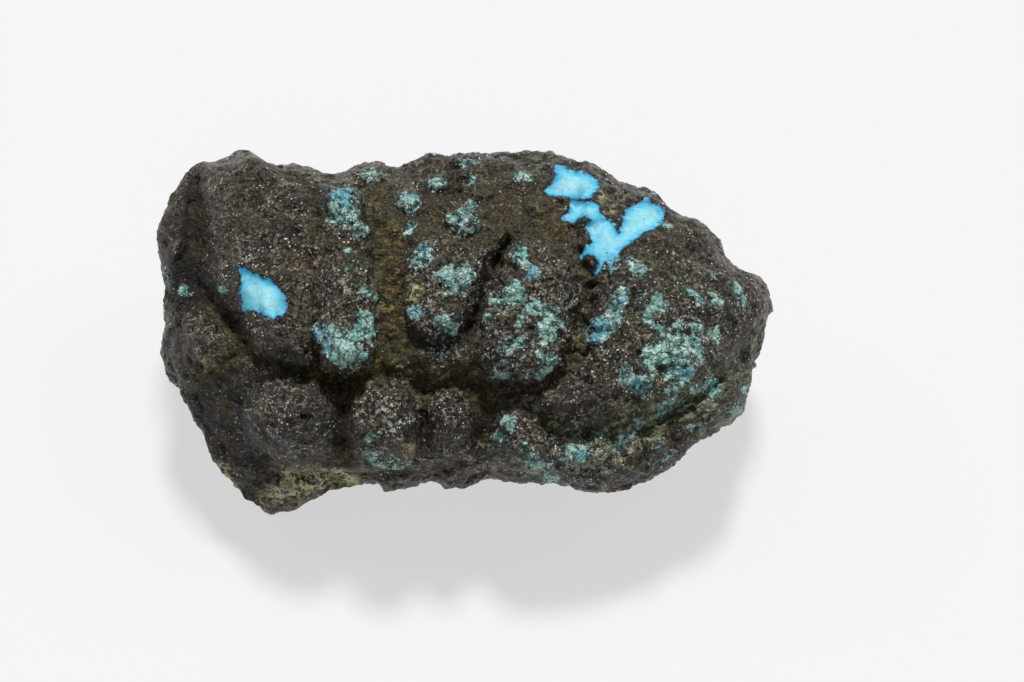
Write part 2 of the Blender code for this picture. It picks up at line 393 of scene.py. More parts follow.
@dataclass(frozen=True)
class Knob:
    """A small swelling with an oval edge."""

    s: float
    t: float
    half_s: float
    half_t: float
    height: float
    rounding: float = 0.9

    def relief(self, places: np.ndarray) -> np.ndarray:
        """Gives the knob's height at each place on the show face."""
        off = ((places[:, 0] - self.s) / self.half_s) ** 2
        off += ((places[:, 1] - self.t) / self.half_t) ** 2
        return self.height * np.clip(1.0 - off, 0.0, 1.0) ** self.rounding


@dataclass(frozen=True)
class Furrow:
    """A groove that follows a line between the lobes."""

    depth: float
    half_width: float
    line: Points

    def relief(self, places: np.ndarray) -> np.ndarray:
        """Gives the furrow's depth, below zero, at each place on the show face."""
        away = line_distance(places, rounded(self.line, closed=False), False)
        return -self.depth * np.exp(-((away / self.half_width) ** 2))


@dataclass
class Surface:
    """The stone's skin: its points and faces, and where each point lies on the show face."""

    points: np.ndarray
    quads: np.ndarray
    places: np.ndarray
    facing: np.ndarray


@dataclass(frozen=True)
class Patch:
    """A soft-edged spot of a finish on the show face."""

    s: float
    t: float
    radius: float
    share: float = 1.0

    def cover(self, surface: Surface) -> np.ndarray:
        """Lays the finish round the shown point nearest to the patch's middle.

        Args:
            surface: The stone's skin.

        Returns:
            The share of the finish on each point of the skin.
        """
        off = np.hypot(surface.places[:, 0] - self.s, surface.places[:, 1] - self.t)
        middle = surface.points[np.argmin(off + FAR * (surface.facing < 0.0))]
        away = surface.points - middle
        inward = away @ np.array(ShowFace().outward())
        apart = (away**2).sum(axis=1) - INWARD_EASE * inward**2
        return self.share * np.exp(-apart / (PATCH_REACH * self.radius) ** 2)


def patches(*rows: tuple[float, ...]) -> tuple[Patch, ...]:
    """Makes a patch of each row: its S, T, radius and, where it isn't whole, its share."""
    return tuple(Patch(*row) for row in rows)


OUTLINE: Points = (
    (-50.3, 1), (-50.0, 9), (-51.4, 17), (-49.6, 22), (-48, 25.5), (-45, 29.2), (-40.5, 30),
    (-36.5, 31.8), (-32.3, 29.3), (-27.5, 29.5), (-22.5, 27.9), (-18, 29), (-14.5, 30.1),
    (-10.5, 29), (-5, 31.2), (-3, 30.5), (-1, 31.4), (3, 31), (8, 31.7), (15.5, 30.8),
    (21.5, 29.8), (27, 26.5), (32, 24.6), (35.5, 21.4), (39.5, 19.9), (41.5, 18),
    (44.5, 12.7), (49.5, 10.3), (51.2, 5), (49.2, -1), (47.4, -7.5), (46, -12),
    (41, -15.5), (37.7, -17.3), (33, -21.8), (26.5, -24.4), (21, -25), (12, -23.6),
    (4, -23.2), (-2, -24.7), (-5.5, -23.2), (-12, -25), (-15.5, -23.6), (-23.7, -25.3),
    (-29, -28.2), (-33.5, -28), (-40.5, -21.5), (-44.2, -14.2), (-47.5, -9.2), (-49.8, -4),
)

LOBES: tuple[Lobe, ...] = (
    Lobe("shoulder", 5.2, 8.0, 0.10, (
        (-42.8, 34), (-43.9, 23), (-42.6, 17), (-43, 12.5), (-41.3, 8), (-38.5, 3.5),
        (-34.5, -2), (-29, -3.7), (-25.3, -4.8), (-24.9, -1), (-26.9, 5), (-26.4, 14),
        (-25.4, 24), (-24.5, 34))),
    Lobe("finger", 5.2, 5.5, 0.15, (
        (-24.2, 34), (-25, 24), (-25.9, 14), (-26.3, 5), (-24.6, -1), (-24.3, -4.8),
        (-20, -5.8), (-16, -4.2), (-14.4, -1), (-14.6, 4), (-14.9, 12), (-15.6, 20),
        (-17, 25), (-18.5, 34))),
    Lobe("shoulder_saddle", 3.4, 5.0, 0.10, (
        (-40, 38), (-40.5, 22), (-39.2, 10), (-34, 2.5), (-29, -1), (-22, -2.4), (-17.6, 0),
        (-17.6, 10), (-18.2, 20), (-20, 38))),
    Lobe("centre", 4.4, 4.8, 0.10, (
        (-9.5, 17), (-6, 18.4), (-1, 17.6), (3, 16.6), (6, 16.2), (4.3, 13), (3.0, 9.2),
        (2.0, 6), (0.4, 2.6), (-2, 0.6), (-5, -0.5), (-8.3, 1), (-9.7, 4), (-10.5, 8))),
    Lobe("right_of_centre", 5.2, 6.0, 0.10, (
        (8, 16.9), (12, 18), (16, 16.4), (18.7, 12), (19.4, 8), (18.4, 3), (17.6, 0),
        (16.6, -3), (14, -5.7), (11.5, -7.2), (8.5, -7), (5, -6.2), (2.9, -4),
        (2.3, -1), (2.9, 3), (4.3, 8), (5.9, 12))),
    Lobe("great_right", 4.0, 9.0, 0.0, (
        (19, 20), (19.4, 14), (20.8, 11), (21.2, 5), (20.6, 0), (19, -4), (15, -7),
        (11.8, -9.4), (12.7, -11.8), (15.5, -14.2), (19, -15.2), (25, -14.2), (31, -12.6),
        (38, -9.6), (44, -5.2), (48, 0.2), (54, 5), (56, 12), (46, 26), (30, 32), (22, 27))),
    Lobe("left_band", 2.3, 4.5, 0.0, (
        (-56, 33), (-47, 30), (-45.8, 24), (-46.5, 18), (-46.2, 12), (-46.9, 6), (-48.5, 2),
        (-56, -1))),
    Lobe("low_middle_swell", 3.0, 6.0, 0.20, (
        (5.2, -12.5), (9, -10.8), (12, -13), (15, -15.6), (19, -16.8), (24, -16.2),
        (24.5, -19.5), (17, -22), (10, -22), (6, -20.5), (4.4, -16.5))),
    Lobe("right_tongue", 3.0, 4.5, 0.0, (
        (45.5, -5.2), (52, -6), (50, -13), (42, -19), (34, -21), (30, -17.5), (30.5, -14.6),
        (38, -11.3))),
)

KNOBS: tuple[Knob, ...] = (
    Knob(-28.6, -13.6, 9.0, 8.2, 5.6), Knob(-13.4, -13.8, 7.0, 8.0, 6.0),
    Knob(-2.3, -14.0, 4.3, 6.6, 4.6),
    Knob(-15.5, 28.0, 3.2, 2.4, 2.2), Knob(-20.2, 22.8, 4.4, 3.8, 1.4),
    Knob(-17.0, 18.4, 2.0, 1.7, 1.0), Knob(-9.0, 23.6, 2.5, 2.5, 1.9),
    Knob(-4.8, 27.0, 3.2, 2.9, 2.3), Knob(-1.0, 30.3, 2.2, 1.8, 1.6),
    Knob(3.4, 27.2, 4.6, 3.7, 2.6), Knob(0.0, 20.4, 3.4, 2.8, 2.4),
    Knob(9.6, 27.2, 3.7, 2.9, 1.9), Knob(12.6, 22.6, 2.7, 2.4, 1.4),
    Knob(18.2, 26.2, 5.8, 3.7, 2.6), Knob(20.2, 21.3, 3.6, 2.3, 1.2),
    Knob(-42.6, 0.4, 5.6, 4.4, 3.2), Knob(-48.0, 15.5, 1.9, 1.9, 1.2),
    Knob(-36.5, 29.0, 4.5, 2.4, 1.2), Knob(28.5, -19.6, 8.0, 4.2, 2.0),
    Knob(-0.5, -2.6, 2.6, 2.2, 1.2), Knob(-7.0, -2.6, 2.4, 1.8, 0.9),
    Knob(-12.5, -23.2, 3.4, 1.5, 1.0), Knob(-2.2, -23.0, 3.2, 1.5, 1.0),
    Knob(-30.0, -25.0, 7.0, 2.6, 1.3),
)

FURROWS: tuple[Furrow, ...] = (
    Furrow(3.4, 0.8, ((7.4, 16.6), (6.6, 15.3), (5.6, 13.2))),
    Furrow(1.5, 1.1, ((5.6, 13.2), (4.6, 11), (3.4, 7), (2.1, 4.2), (1.0, 1.6))),
    Furrow(0.7, 1.3, ((-9.8, 17), (-10.1, 13), (-10.9, 7), (-10, 3.8), (-8.5, 1.5))),
    Furrow(1.0, 1.7, ((-38.6, 2.4), (-37, -0.8), (-33, -3.6), (-28, -5), (-20, -6.8))),
    Furrow(3.2, 2.0, ((-45, 26), (-44.9, 20), (-44.7, 14), (-44, 9), (-41.5, 5), (-39, 2.4))),
    Furrow(1.4, 0.8, ((-1.5, 29), (-1.5, 26), (-0.6, 23.8))),
    Furrow(0.7, 1.5, ((20.1, 12), (20.4, 8), (19.7, 2), (18.3, -3), (15, -6.6), (10, -8.6))),
    Furrow(0.8, 1.5, ((-20.4, -7), (-20.5, -14), (-19.4, -20.4))),
    Furrow(0.6, 1.3, ((-7, -8), (-6.4, -14), (-6.8, -20))),
    Furrow(0.8, 1.4, ((2.4, -8), (3, -14), (3, -19.5))),
    Furrow(0.9, 0.9, ((-30, -20.8), (-25, -22), (-19, -22.6), (-13, -22.4), (-6, -21.4))),
    Furrow(1.1, 1.2, ((-25.2, 27), (-25.6, 20), (-26.3, 10), (-26, 2), (-24.6, -3))),
)

WINDOWS: tuple[Points, ...] = (
    ((-38, 12.2), (-36.3, 12), (-35, 11.2), (-33, 10.4), (-32, 10.2), (-30.6, 8.6),
     (-29.8, 7), (-29.8, 5.3), (-31.2, 3.5), (-33, 4.1), (-35.3, 5.1), (-36.8, 4.9),
     (-37.3, 8), (-37.3, 10.6)),
    ((15, 28.8), (16.2, 29.1), (19, 28.4), (21.5, 28.1), (22.5, 26.4), (22.3, 25),
     (20, 23.8), (18.5, 23.5), (14.5, 24.1), (13.3, 25.4), (14.6, 26.7), (15.2, 27.8)),
    ((17.5, 23.3), (21, 23.3), (22.3, 23), (23, 21.5), (23.5, 20.8), (22.9, 19.6),
     (20.3, 20), (19.5, 20.2), (18, 19.4), (17.3, 20), (16.3, 20.4), (17.6, 21.7)),
    ((21.9, 20.6), (24.8, 20.2), (25.7, 18.4), (26.3, 19.2), (26.8, 21.8), (28.7, 23.2),
     (31.5, 23.1), (33.2, 22), (33.3, 20), (32.8, 19.2), (30.2, 18.3), (29.3, 17.3),
     (27, 15.8), (25.5, 14.6), (23.7, 13), (22.5, 11.3), (21.7, 11.5), (22.3, 13.5),
     (20.2, 14.2), (19.5, 13.2), (19.3, 15), (21.2, 17), (20.5, 18.8)),
)

AQUA = patches(
    (-20.4, 23.8, 2.6), (-20.2, 21.2, 2), (-17, 18.3, 1.3), (-15.5, 27.8, 1.6), (-24, 1.8, 1.2),
    (-22, 0.2, 2), (-20, -1.3, 1.6), (-17.2, 1.2, 1.6), (-16.5, 4, 1.5), (-19, -3, 2.6, 0.6),
    (-16, 8.5, 0.9), (-15, 6.7, 0.6), (-18.5, 12.5, 1.3, 0.6), (-9, 24, 1.7), (-8.5, 21.8, 0.8),
    (-9, 18.5, 1.4, 0.6), (-4.8, 26.5, 1.4), (1.3, 29.5, 1.4), (1.3, 27.3, 0.9), (10, 27.3, 1.2),
    (-5, 31, 1.2), (0, 20, 2.3), (1, 22.7, 0.8), (-6.3, 15, 1.6), (-7.5, 13.5, 1.3),
    (-4, 10.7, 0.9), (-1, 10.5, 2.2), (-8, 4.5, 1.3), (-3, 3, 1.6), (9.5, 14.5, 1.5),
    (11.5, 12, 1.5), (7.7, 7.7, 1.5), (5, 7, 1.1), (8.7, 9.7, 0.8), (4, 3.8, 0.8), (9.3, 3.5, 0.9),
    (11.5, 5.3, 1.2), (14.5, 4, 1.8), (14, 1.5, 1.5), (17.5, 5.5, 0.7), (14.5, -4, 1.4),
    (12.3, -5.5, 0.9), (7, -1.5, 1.3, 0.7), (6, -5, 1.5, 0.7), (22.3, 1.8, 1.9), (26.3, 8, 1.2),
    (25.8, 6.5, 1.1), (25.3, 4.5, 1.2), (29.2, 11.5, 0.8), (28.5, 13, 1.2), (32, 6.5, 1.6, 0.8),
    (31, 3.7, 0.9), (32.2, 2.5, 0.7), (37.5, 8.5, 1, 0.8), (39, 6.7, 1, 0.8), (41, 11, 1.4, 0.6),
    (46, 9, 1), (46, 6.5, 1), (42, 6.5, 1.2, 0.7), (32.5, -1.5, 1.8), (36.5, -1, 1.9),
    (36, -4.5, 2.2), (39.5, -1.5, 1.1), (41.8, 1, 1.2), (31, -3.5, 1.3), (27, -5, 1),
    (29.5, -7, 1.5), (26.5, -6.5, 0.8), (35, -8.5, 1), (34.6, -10.3, 1.2), (38.3, -7.5, 0.8),
    (41.5, -7.5, 1.4), (27, -16, 1), (26, -17.5, 0.9), (19, -19.2, 1.5), (11.5, -19.5, 1.2),
    (9.3, -17.2, 0.8), (7.5, -13.5, 1.2), (14.5, -23, 1.4), (18.5, -23.7, 0.8), (34, -19.5, 1.2),
    (32, -17.5, 0.9), (36.5, -18.5, 1), (-47, 8.3, 0.9), (-49.7, 11, 1.3), (-40.5, 8.3, 0.9),
    (-15.5, -16.5, 1), (-15.8, -19, 1.1), (-13.5, -20.5, 1.3), (-10.5, -20.3, 1),
    (31.5, 24.6, 1.2), (24.5, 13, 1.5), (33.6, 19.4, 1), (11.8, -20.4, 1.1), (13.6, -20.2, 0.9),
    (17, -19.2, 1), (20.4, -18.4, 0.9), (29.3, -13.8, 1, 0.8), (33, -11.9, 1.1, 0.9),
    (41.4, -9.4, 1.1, 0.8), (45.2, -11.9, 1.2, 0.8), (46.8, -8.2, 1.3, 0.9),
    (38.9, -14.4, 1.2, 0.9), (21.6, -23.6, 0.8), (6, -16.2, 1, 0.8), (22.7, -15.8, 1, 0.7),
    (35.4, 2.6, 1, 0.8), (38.6, 2.4, 0.9, 0.8), (33.6, 1.4, 0.9, 0.9), (-3.4, -1.6, 0.9, 0.7),
    (-19.2, 15.4, 0.8, 0.7), (9.4, 0.4, 1, 0.7), (12.6, -1.8, 1, 0.7), (10.2, 7.6, 0.9, 0.8),
)

BLUE = patches(
    (-20.6, 24.6, 1.8), (-19.6, 22.6, 1.4, 0.7), (-24.2, 1.8, 1.4), (-22.6, -0.4, 1.2, 0.6),
    (-8, 4.5, 1.4, 0.9), (-8.9, 24.6, 1, 0.7), (-6.6, 15.4, 1.3, 0.6), (11.6, 12, 1.4, 0.9),
    (9.2, 14.8, 1, 0.6), (22.4, 1.6, 1.8), (29.4, -7.2, 1.2), (36.6, -5.2, 1.4, 0.7),
    (26, 6.6, 1, 0.6), (1.2, 28.6, 1.2, 0.7), (19.4, -19, 1, 0.6), (33, -18.6, 1.2, 0.6),
    (41, -7.2, 1.2, 0.6), (0, 19.4, 1.4, 0.4), (22.8, 16, 2.4, 0.9), (24, 13.2, 1.8, 0.9),
)

SOIL = patches(
    (-13.4, 24, 2.2), (-12.6, 18, 2.4), (-12.3, 13, 2.4), (-12, 8, 2.3), (-12.2, 3, 2.3),
    (-12, -2.5, 2.6), (-19.5, -6.2, 2.6), (-15, -5.5, 2), (-43, -5, 2.6), (-38.5, -3, 2.6),
    (-39.8, -11.5, 0.9), (18.5, 1.5, 1.1), (15.7, 17.5, 1.2), (3.5, -15.5, 1), (3.2, -10, 2, 0.7),
    (6, 22, 5.5, 0.55), (14, 20.5, 3, 0.6), (-6, 20.5, 3, 0.5), (1, -4, 2, 0.8),
    (-4, -6, 2.5, 0.5), (32, -13.5, 3, 0.6), (38, -12, 3, 0.6), (45, -7, 2, 0.6),
    (-8.5, 8, 1.2, 0.6), (-36, -26, 3, 0.4), (-28, -24.5, 3.5, 0.6), (-21, -23.5, 2.5, 0.6),
)

CREAM = patches(
    (-40.2, -20.8, 0.8), (-39.4, -22.6, 0.8), (-38.2, -24.3, 0.8), (-33.5, -27, 1.2, 0.7),
    (-31.5, -25.8, 1.4, 0.9), (-28.6, -24.6, 2), (-25.2, -23.4, 2.2), (-22.6, -22.7, 1.7),
    (-20, -22.6, 1.3), (-29.5, -21.8, 1.2, 0.8), (-18.4, -23.2, 1), (-8.2, 8.4, 1),
    (-8.9, 6.2, 0.9), (-43.5, -3.4, 1.3, 0.6), (-9.2, -17.8, 1, 0.7), (23, 24.5, 0.8),
    (25, 22, 0.8, 0.7), (26, -18.4, 1.5, 0.7), (20, -19.6, 1.5, 0.6), (12, -21.2, 1.6, 0.5),
    (31, -16, 1.5, 0.5),
)

# Spots of white flecks, partly painted highlights on the domes.
FROST_AND_SHEEN = patches(
    (-11.2, -10.6, 2.8, 0.9), (-17.5, -13, 1.6, 0.6), (-31.5, -9, 4, 0.4), (-10, -14, 1.6, 0.7),
    (-13.2, -19.6, 1.6), (-10.8, -20, 1.5), (-2.5, -11, 2.4, 0.8), (-29, -18, 2.2, 0.5),
    (-32.5, 21.8, 1.2, 0.6), (-35, 12, 6, 0.25), (-20.5, 8, 5, 0.35), (-3, 8, 6, 0.5),
    (12, 3, 7, 0.5), (-43.5, -2.2, 2, 0.8), (-46.5, 3, 2, 0.5), (14, -17.5, 5, 0.6),
    (24, -19.5, 5, 0.6), (35, 0, 9, 0.4), (-30, -25.2, 2.2, 0.8), (-25, -23.2, 2.5, 0.8),
    (5.5, -4.5, 2, 0.8), (3, -19, 2.5, 0.7), (-7.5, -19, 1.5, 0.8), (-4, -2.5, 1.5, 0.6),
)

SHADE = patches(
    (-45.2, 24, 2.4, 0.9), (-45, 18, 2.6), (-44.8, 12, 2.6), (-43.8, 7, 2.4, 0.9),
    (-47.5, 8, 3, 0.6), (-48.5, 20, 3, 0.5), (-44, -12, 4, 0.65), (-41, -19, 3.5, 0.6),
    (-37, -9, 3.5, 0.6), (-36, -18, 3.5, 0.55), (-33, -21, 3, 0.4), (-36.5, -26, 2.2, 0.6),
    (-21.5, -12, 1.8, 0.8), (-21, -17, 1.8, 0.8), (-7, -14, 1.3, 0.7), (2.5, -13, 2, 0.7),
    (17.5, -9.5, 2.5, 0.4), (36, -16, 3, 0.5), (44, -9.5, 2.5, 0.5), (40, -12.6, 2, 0.5),
    (-48.6, 12, 3, 0.5), (-47.4, 2, 2.4, 0.4), (-13, -6.8, 2, 0.5), (-29.5, -3.8, 2.6, 0.5),
    (6.6, 14.6, 0.9), (5, 11.6, 1), (4.1, 8.6, 1.1), (3.1, 5.6, 1.2), (1.8, 3.2, 1.4, 0.9),
    (0, 0.2, 1.7, 0.8), (-2.8, -2.3, 1.6, 0.6), (19.9, 8, 1.3, 0.6), (19.4, 3, 1.2, 0.7),
    (18.2, -2, 1.3, 0.6),
)

STREAKED = patches(
    (27, -13.6, 2.2, 0.7), (31.5, -12.6, 2.6, 0.8), (36.5, -10.6, 2.6, 0.8), (41, -7.6, 2.4, 0.8),
    (45, -4, 2.2, 0.7), (47.5, -9, 2.5, 0.6), (45, -12.5, 2.2, 0.6), (25, -17, 2.6, 0.6),
    (40, -14.8, 2, 0.7), (48.4, -5.6, 1.8, 0.6), (42.6, -11.6, 2, 0.5), (29.6, -15.8, 2, 0.6),
    (18, -18, 2.4, 0.4), (5, -19.5, 1.8, 0.5), (-43, -18.5, 1.2, 0.6),
)

KNOBBLY = patches(
    (-2.5, 9, 7), (11, 5, 9), (30, 4, 14, 0.8), (0, 24, 11, 0.9), (-20, 22, 5, 0.8),
    (20, -18, 9, 0.9), (38, -15, 8, 0.8), (-32, -24, 6, 0.8), (-46, 4, 6, 0.7), (-20, 0, 4, 0.7),
)


@dataclass(frozen=True)
class NoduleForm:
    """The stone's form, the same as the solid's: a body under lobes, in millimetres."""

    face: ShowFace = ShowFace()
    centre: tuple[float, float] = (0.0, 3.0)
    half_length: float = 51.0
    half_width: float = 28.0
    rim_h: float = 8.5
    rim_slope: float = -0.43
    front_rise: float = 21.0
    back_rise: float = 24.8
    rounding: float = 0.80
    rim_share: tuple[float, float] = (0.72, 1.0)
    bump_spread: float = 0.35
    corner_drop: float = 8.0
    corner_place: tuple[float, float] = (-32.0, -28.0)
    corner_reach: tuple[float, float] = (13.0, 9.0)
    low_front_depth: float = 2.6
    low_front_t: tuple[float, float] = (-2.5, -8.5)
    low_front_s: tuple[float, float] = (12.0, 4.0)
    hidden_lobes: int = 60
    hidden_radius: tuple[float, float] = (8.0, 14.0)
    hidden_height: float = 4.2
    hidden_share: tuple[float, float] = (0.6, 1.0)
    hidden_rounding: float = 0.75
    hidden_rise: tuple[float, float] = (0.5, 5.0)
    hidden_seed: int = 11
    facing_blend: tuple[float, float] = (-0.05, 0.30)
    swell_height: float = 0.55
    swell_length: float = 7.0
    lump_height: float = 0.55
    lump_length: float = 3.2

    def grid(self, cells: tuple[int, int, int]) -> tuple[np.ndarray, np.ndarray]:
        """Makes a closed box grid blown up to a sphere.

        Args:
            cells: Cells along the stone, up the show face and through it.

        Returns:
            Unit directions and the square faces between them.
        """
        index: dict[tuple[int, ...], int] = {}
        places: list[list[float]] = []
        quads: list[list[int]] = []

        def corner(key: tuple[int, ...]) -> int:
            """Gives the number of one grid point, adding it if it is new."""
            if key not in index:
                index[key] = len(places)
                places.append([math.tan((2 * v / n - 1) * math.pi / 4) for v, n in zip(key, cells)])
            return index[key]

        for axis in range(3):
            a, b = [other for other in range(3) if other != axis]
            for level in (0, cells[axis]):
                turned = (level == 0) != (axis == 1)
                for i in range(cells[a]):
                    for j in range(cells[b]):
                        quad = []
                        for di, dj in ((0, 0), (1, 0), (1, 1), (0, 1)):
                            key = [0, 0, 0]
                            key[axis], key[a], key[b] = level, i + di, j + dj
                            quad.append(corner(tuple(key)))
                        quads.append(quad[::-1] if turned else quad)
        directions = np.array(places)
        return directions / np.linalg.norm(directions, axis=1)[:, None], np.array(quads)

    def outline_reach(self, angles: np.ndarray, spread: float) -> np.ndarray:
        """Gives how far the outline lies from the centre.

        Args:
            angles: Angles round the centre.
            spread: Angle over which the outline's bumps are evened out.

        Returns:
            The distance at each angle, as a share of the half-sizes.
        """
        curve = rounded(OUTLINE, closed=True)
        across = (curve[:, 0] - self.centre[0]) / self.half_length
        up = (curve[:, 1] - self.centre[1]) / self.half_width
        turn = np.arctan2(up, across)
        order = np.argsort(turn)
        turn, reach = turn[order], np.hypot(across, up)[order]
        if spread:
            apart = np.angle(np.exp(1j * (turn[:, None] - turn)))
            weights = np.exp(-0.5 * (apart / spread) ** 2)
            gaps = np.abs(np.gradient(np.unwrap(turn)))
            reach = (weights * gaps) @ reach / (weights @ gaps)
        return np.interp(angles, turn, reach, period=2 * math.pi)

    def plain_body(
        self, directions: np.ndarray, sharpness: float
    ) -> tuple[np.ndarray, np.ndarray, np.ndarray]:
        """Lays out the body without its lobes.

        Args:
            directions: Unit directions from its middle.
            sharpness: Share of the outline's own bumps that it keeps.

        Returns:
            S, T and H of the body in each direction.
        """
        facing = directions[:, 2]
        angles = np.arctan2(directions[:, 1], directions[:, 0])
        share = np.hypot(directions[:, 0], directions[:, 1])
        sharp = sharpness * smooth_step(share, *self.rim_share)
        reach = (1 - sharp) * self.outline_reach(angles, self.bump_spread)
        reach += sharp * self.outline_reach(angles, 0.0)
        s = self.centre[0] + self.half_length * share * reach * np.cos(angles)
        t = self.centre[1] + self.half_width * share * reach * np.sin(angles)
        off_s = (s - self.corner_place[0]) / self.corner_reach[0]
        off_t = (t - self.corner_place[1]) / self.corner_reach[1]
        corner = np.exp(-(off_s**2) - off_t**2)
        rim = self.rim_h + self.rim_slope * (t - self.centre[1]) - self.corner_drop * corner
        rise = np.where(facing > 0, self.front_rise, self.back_rise)
        return s, t, rim + rise * np.sign(facing) * np.abs(facing) ** self.rounding

    def lobe_relief(self, places: np.ndarray) -> np.ndarray:
        """Gives the height of the drawn lobes, knobs and furrows at each place."""
        lying_back = smooth_step(-places[:, 1], -self.low_front_t[0], -self.low_front_t[1])
        lying_back *= smooth_step(-places[:, 0], -self.low_front_s[0], -self.low_front_s[1])
        relief = np.zeros(len(places))
        for lobe in LOBES:
            relief = np.maximum(relief, lobe.relief(places))
        for detail in (*KNOBS, *FURROWS):
            relief += detail.relief(places)
        return relief - self.low_front_depth * lying_back

    def hidden_relief(self, points: np.ndarray) -> np.ndarray:
        """Gives the height of the seeded round lobes away from the show face."""
        dice = random.Random(self.hidden_seed)
        middle = points.mean(axis=0)
        reach = points.max(axis=0) - middle
        relief = np.zeros(len(points))
        for _ in range(self.hidden_lobes):
            aim = np.array([dice.gauss(0, 1) for _ in range(3)])
            aim *= reach / np.linalg.norm(aim)
            top = points[np.argmin(np.linalg.norm(points - middle - aim, axis=1))]
            radius = dice.uniform(*self.hidden_radius)
            off = np.linalg.norm(points - top, axis=1) / radius
            height = self.hidden_height * dice.uniform(*self.hidden_share)
            bulge = np.clip(1.0 - off**2, 0.0, 1.0) ** self.hidden_rounding
            relief = np.maximum(relief, height * bulge)
        return relief

    def surface(self, cells: tuple[int, int, int], crowding: float) -> Surface:
        """Lays the lobes on the body.

        Args:
            cells: Cells along the stone, up the show face and through it.
            crowding: How much closer the cells lie on the show side, from 0 to 1.

        Returns:
            The stone's skin before its finest grain.
        """
        directions, quads = self.grid(cells)
        directions[:, 2] += crowding
        directions /= np.linalg.norm(directions, axis=1)[:, None]
        facing = directions[:, 2]
        plain = self.face.on_ground(*self.plain_body(directions, 0.0))
        normals = vertex_normals(plain, quads)
        s, t, h = self.plain_body(directions, 1.0)
        places = np.stack([s, t], axis=1)
        shown = smooth_step(facing, 0.0, self.facing_blend[1])
        points = self.face.on_ground(s, t, h + shown * self.lobe_relief(places))
        hidden = smooth_step(-facing, *self.facing_blend)
        hidden *= smooth_step(points[:, 2], *self.hidden_rise)
        carved = self.hidden_relief(points) - self.hidden_height
        points += normals * (hidden * carved)[:, None]
        uneven = self.swell_height * unevenness(points, self.swell_length, 2)
        uneven += self.lump_height * unevenness(points + ELSEWHERE, self.lump_length, 2)
        points += normals * uneven[:, None]
        return Surface(points, quads, places, facing)


def laid_by(patches: tuple[Patch, ...], surface: Surface) -> np.ndarray:
    """Adds up what patches lay on each point of the skin, to the whole at most."""
    laid = np.zeros(len(surface.points))
    for patch in patches:
        laid += patch.cover(surface)
    return np.minimum(laid, 1.0)


def spots_on(
    points: np.ndarray, allowed: np.ndarray, count: int, radius: tuple[float, float], seed: int
) -> np.ndarray:
    """Lays seeded round spots on part of the skin.

    Args:
        points: The skin's points, in millimetres.
        allowed: True where a spot's middle may lie.
        count: How many spots there are.
        radius: Smallest and largest radius.
        seed: Seed of the spots' places.

    Returns:
        How deep each point lies in its nearest spot, below zero outside all of them.
    """
    dice = random.Random(seed)
    choices = np.flatnonzero(allowed)
    depth = np.full(len(points), -FAR)
    for _ in range(count):
        middle = points[choices[dice.randrange(len(choices))]]
        off = np.linalg.norm(points - middle, axis=1)
        depth = np.maximum(depth, dice.uniform(*radius) - off)
    return depth


def hollows(surface: Surface, normals: np.ndarray, rounds: int) -> np.ndarray:
    """Measures how far each point lies under the evened-out skin round it.

    Args:
        surface: The stone's skin.
        normals: The skin's normals.
        rounds: How many times the skin is evened out.

    Returns:
        Millimetres below the evened-out skin, less than zero on a crest.
    """
    count = len(surface.points)
    pairs = np.vstack([surface.quads[:, (i, (i + 1) % 4)] for i in range(4)])
    a, b = np.unique(np.sort(pairs, axis=1), axis=0).T
    ends = np.bincount(a, minlength=count) + np.bincount(b, minlength=count)
    even = surface.points.copy()
    for _ in range(rounds):
        for axis in range(3):
            near = np.bincount(a, even[b, axis], count) + np.bincount(b, even[a, axis], count)
            even[:, axis] = 0.5 * even[:, axis] + 0.5 * near / ends
    return ((even - surface.points) * normals).sum(axis=1)


@dataclass(frozen=True)
class OpenStone:
    """Smooth sky-blue stone in the windows, paler the farther it lies from the crust."""

    steps: tuple[tuple[float, float, str], ...] = (
        (-0.15, 0.0, "#123f52"),
        (-0.05, 0.2, "#1f88b4"),
        (0.12, 0.5, "#41b3d6"),
        (0.45, 1.0, "#68c5de"),
        (0.9, 1.9, "#8fd4e2"),
    )
    deeper: str = "#3fb2d8"
    crack: str = "#6fa9bb"
    smudge: str = "#d3ecec"
    roughness: float = 0.55


@dataclass(frozen=True)
class Crust:
    """Dull granular crust: dark olive-brown ground under grey and whitish grains, with painted
    sheen on the grain tops, painted glints, and painted shade in the gaps and hollows.
    """

    # Painted shade in the gaps between grains and in the hollows.
    painted_shade: str = "#0c0804"
    dark: str = "#16120a"
    brown: str = "#38240e"
    olive: str = "#322e18"
    grey: str = "#453d2a"
    # Painted sheen on the tops of the grains, partly their own paler colour.
    crest_sheen: str = "#7a7052"
    # Whitish grains, partly painted highlights on the tops of the finest bumps.
    pale: str = "#a9a386"
    # Painted glints: highlights on tiny facets.
    glint: str = "#f2eee0"
    soil_dark: str = "#241c08"
    soil_light: str = "#50471b"
    ochre: str = "#7f7130"
    cream: str = "#d2cb98"
    mossy: str = "#353a20"
    layer: str = "#a9b695"
    # White flecks, partly painted sheen on crests and domes.
    frost_and_sheen: str = "#dcddd2"
    roughness: float = 0.30
    soil_roughness: float = 0.85


@dataclass(frozen=True)
class Crystals:
    """Clusters of small blue-green crystals with dark gaps between them, partly painted shade, and
    white flecks, partly painted glints.
    """

    # Dark gaps between crystals: partly dark crust, partly painted shade where the bump sinks them.
    gap: str = "#18231f"
    deep: str = "#44706a"
    body: str = "#72aca2"
    blue: str = "#54b6d2"
    bright: str = "#aedbce"
    # White flecks: partly white crystal, partly painted glints.
    white: str = "#f3fbf5"
    roughness: float = 0.3


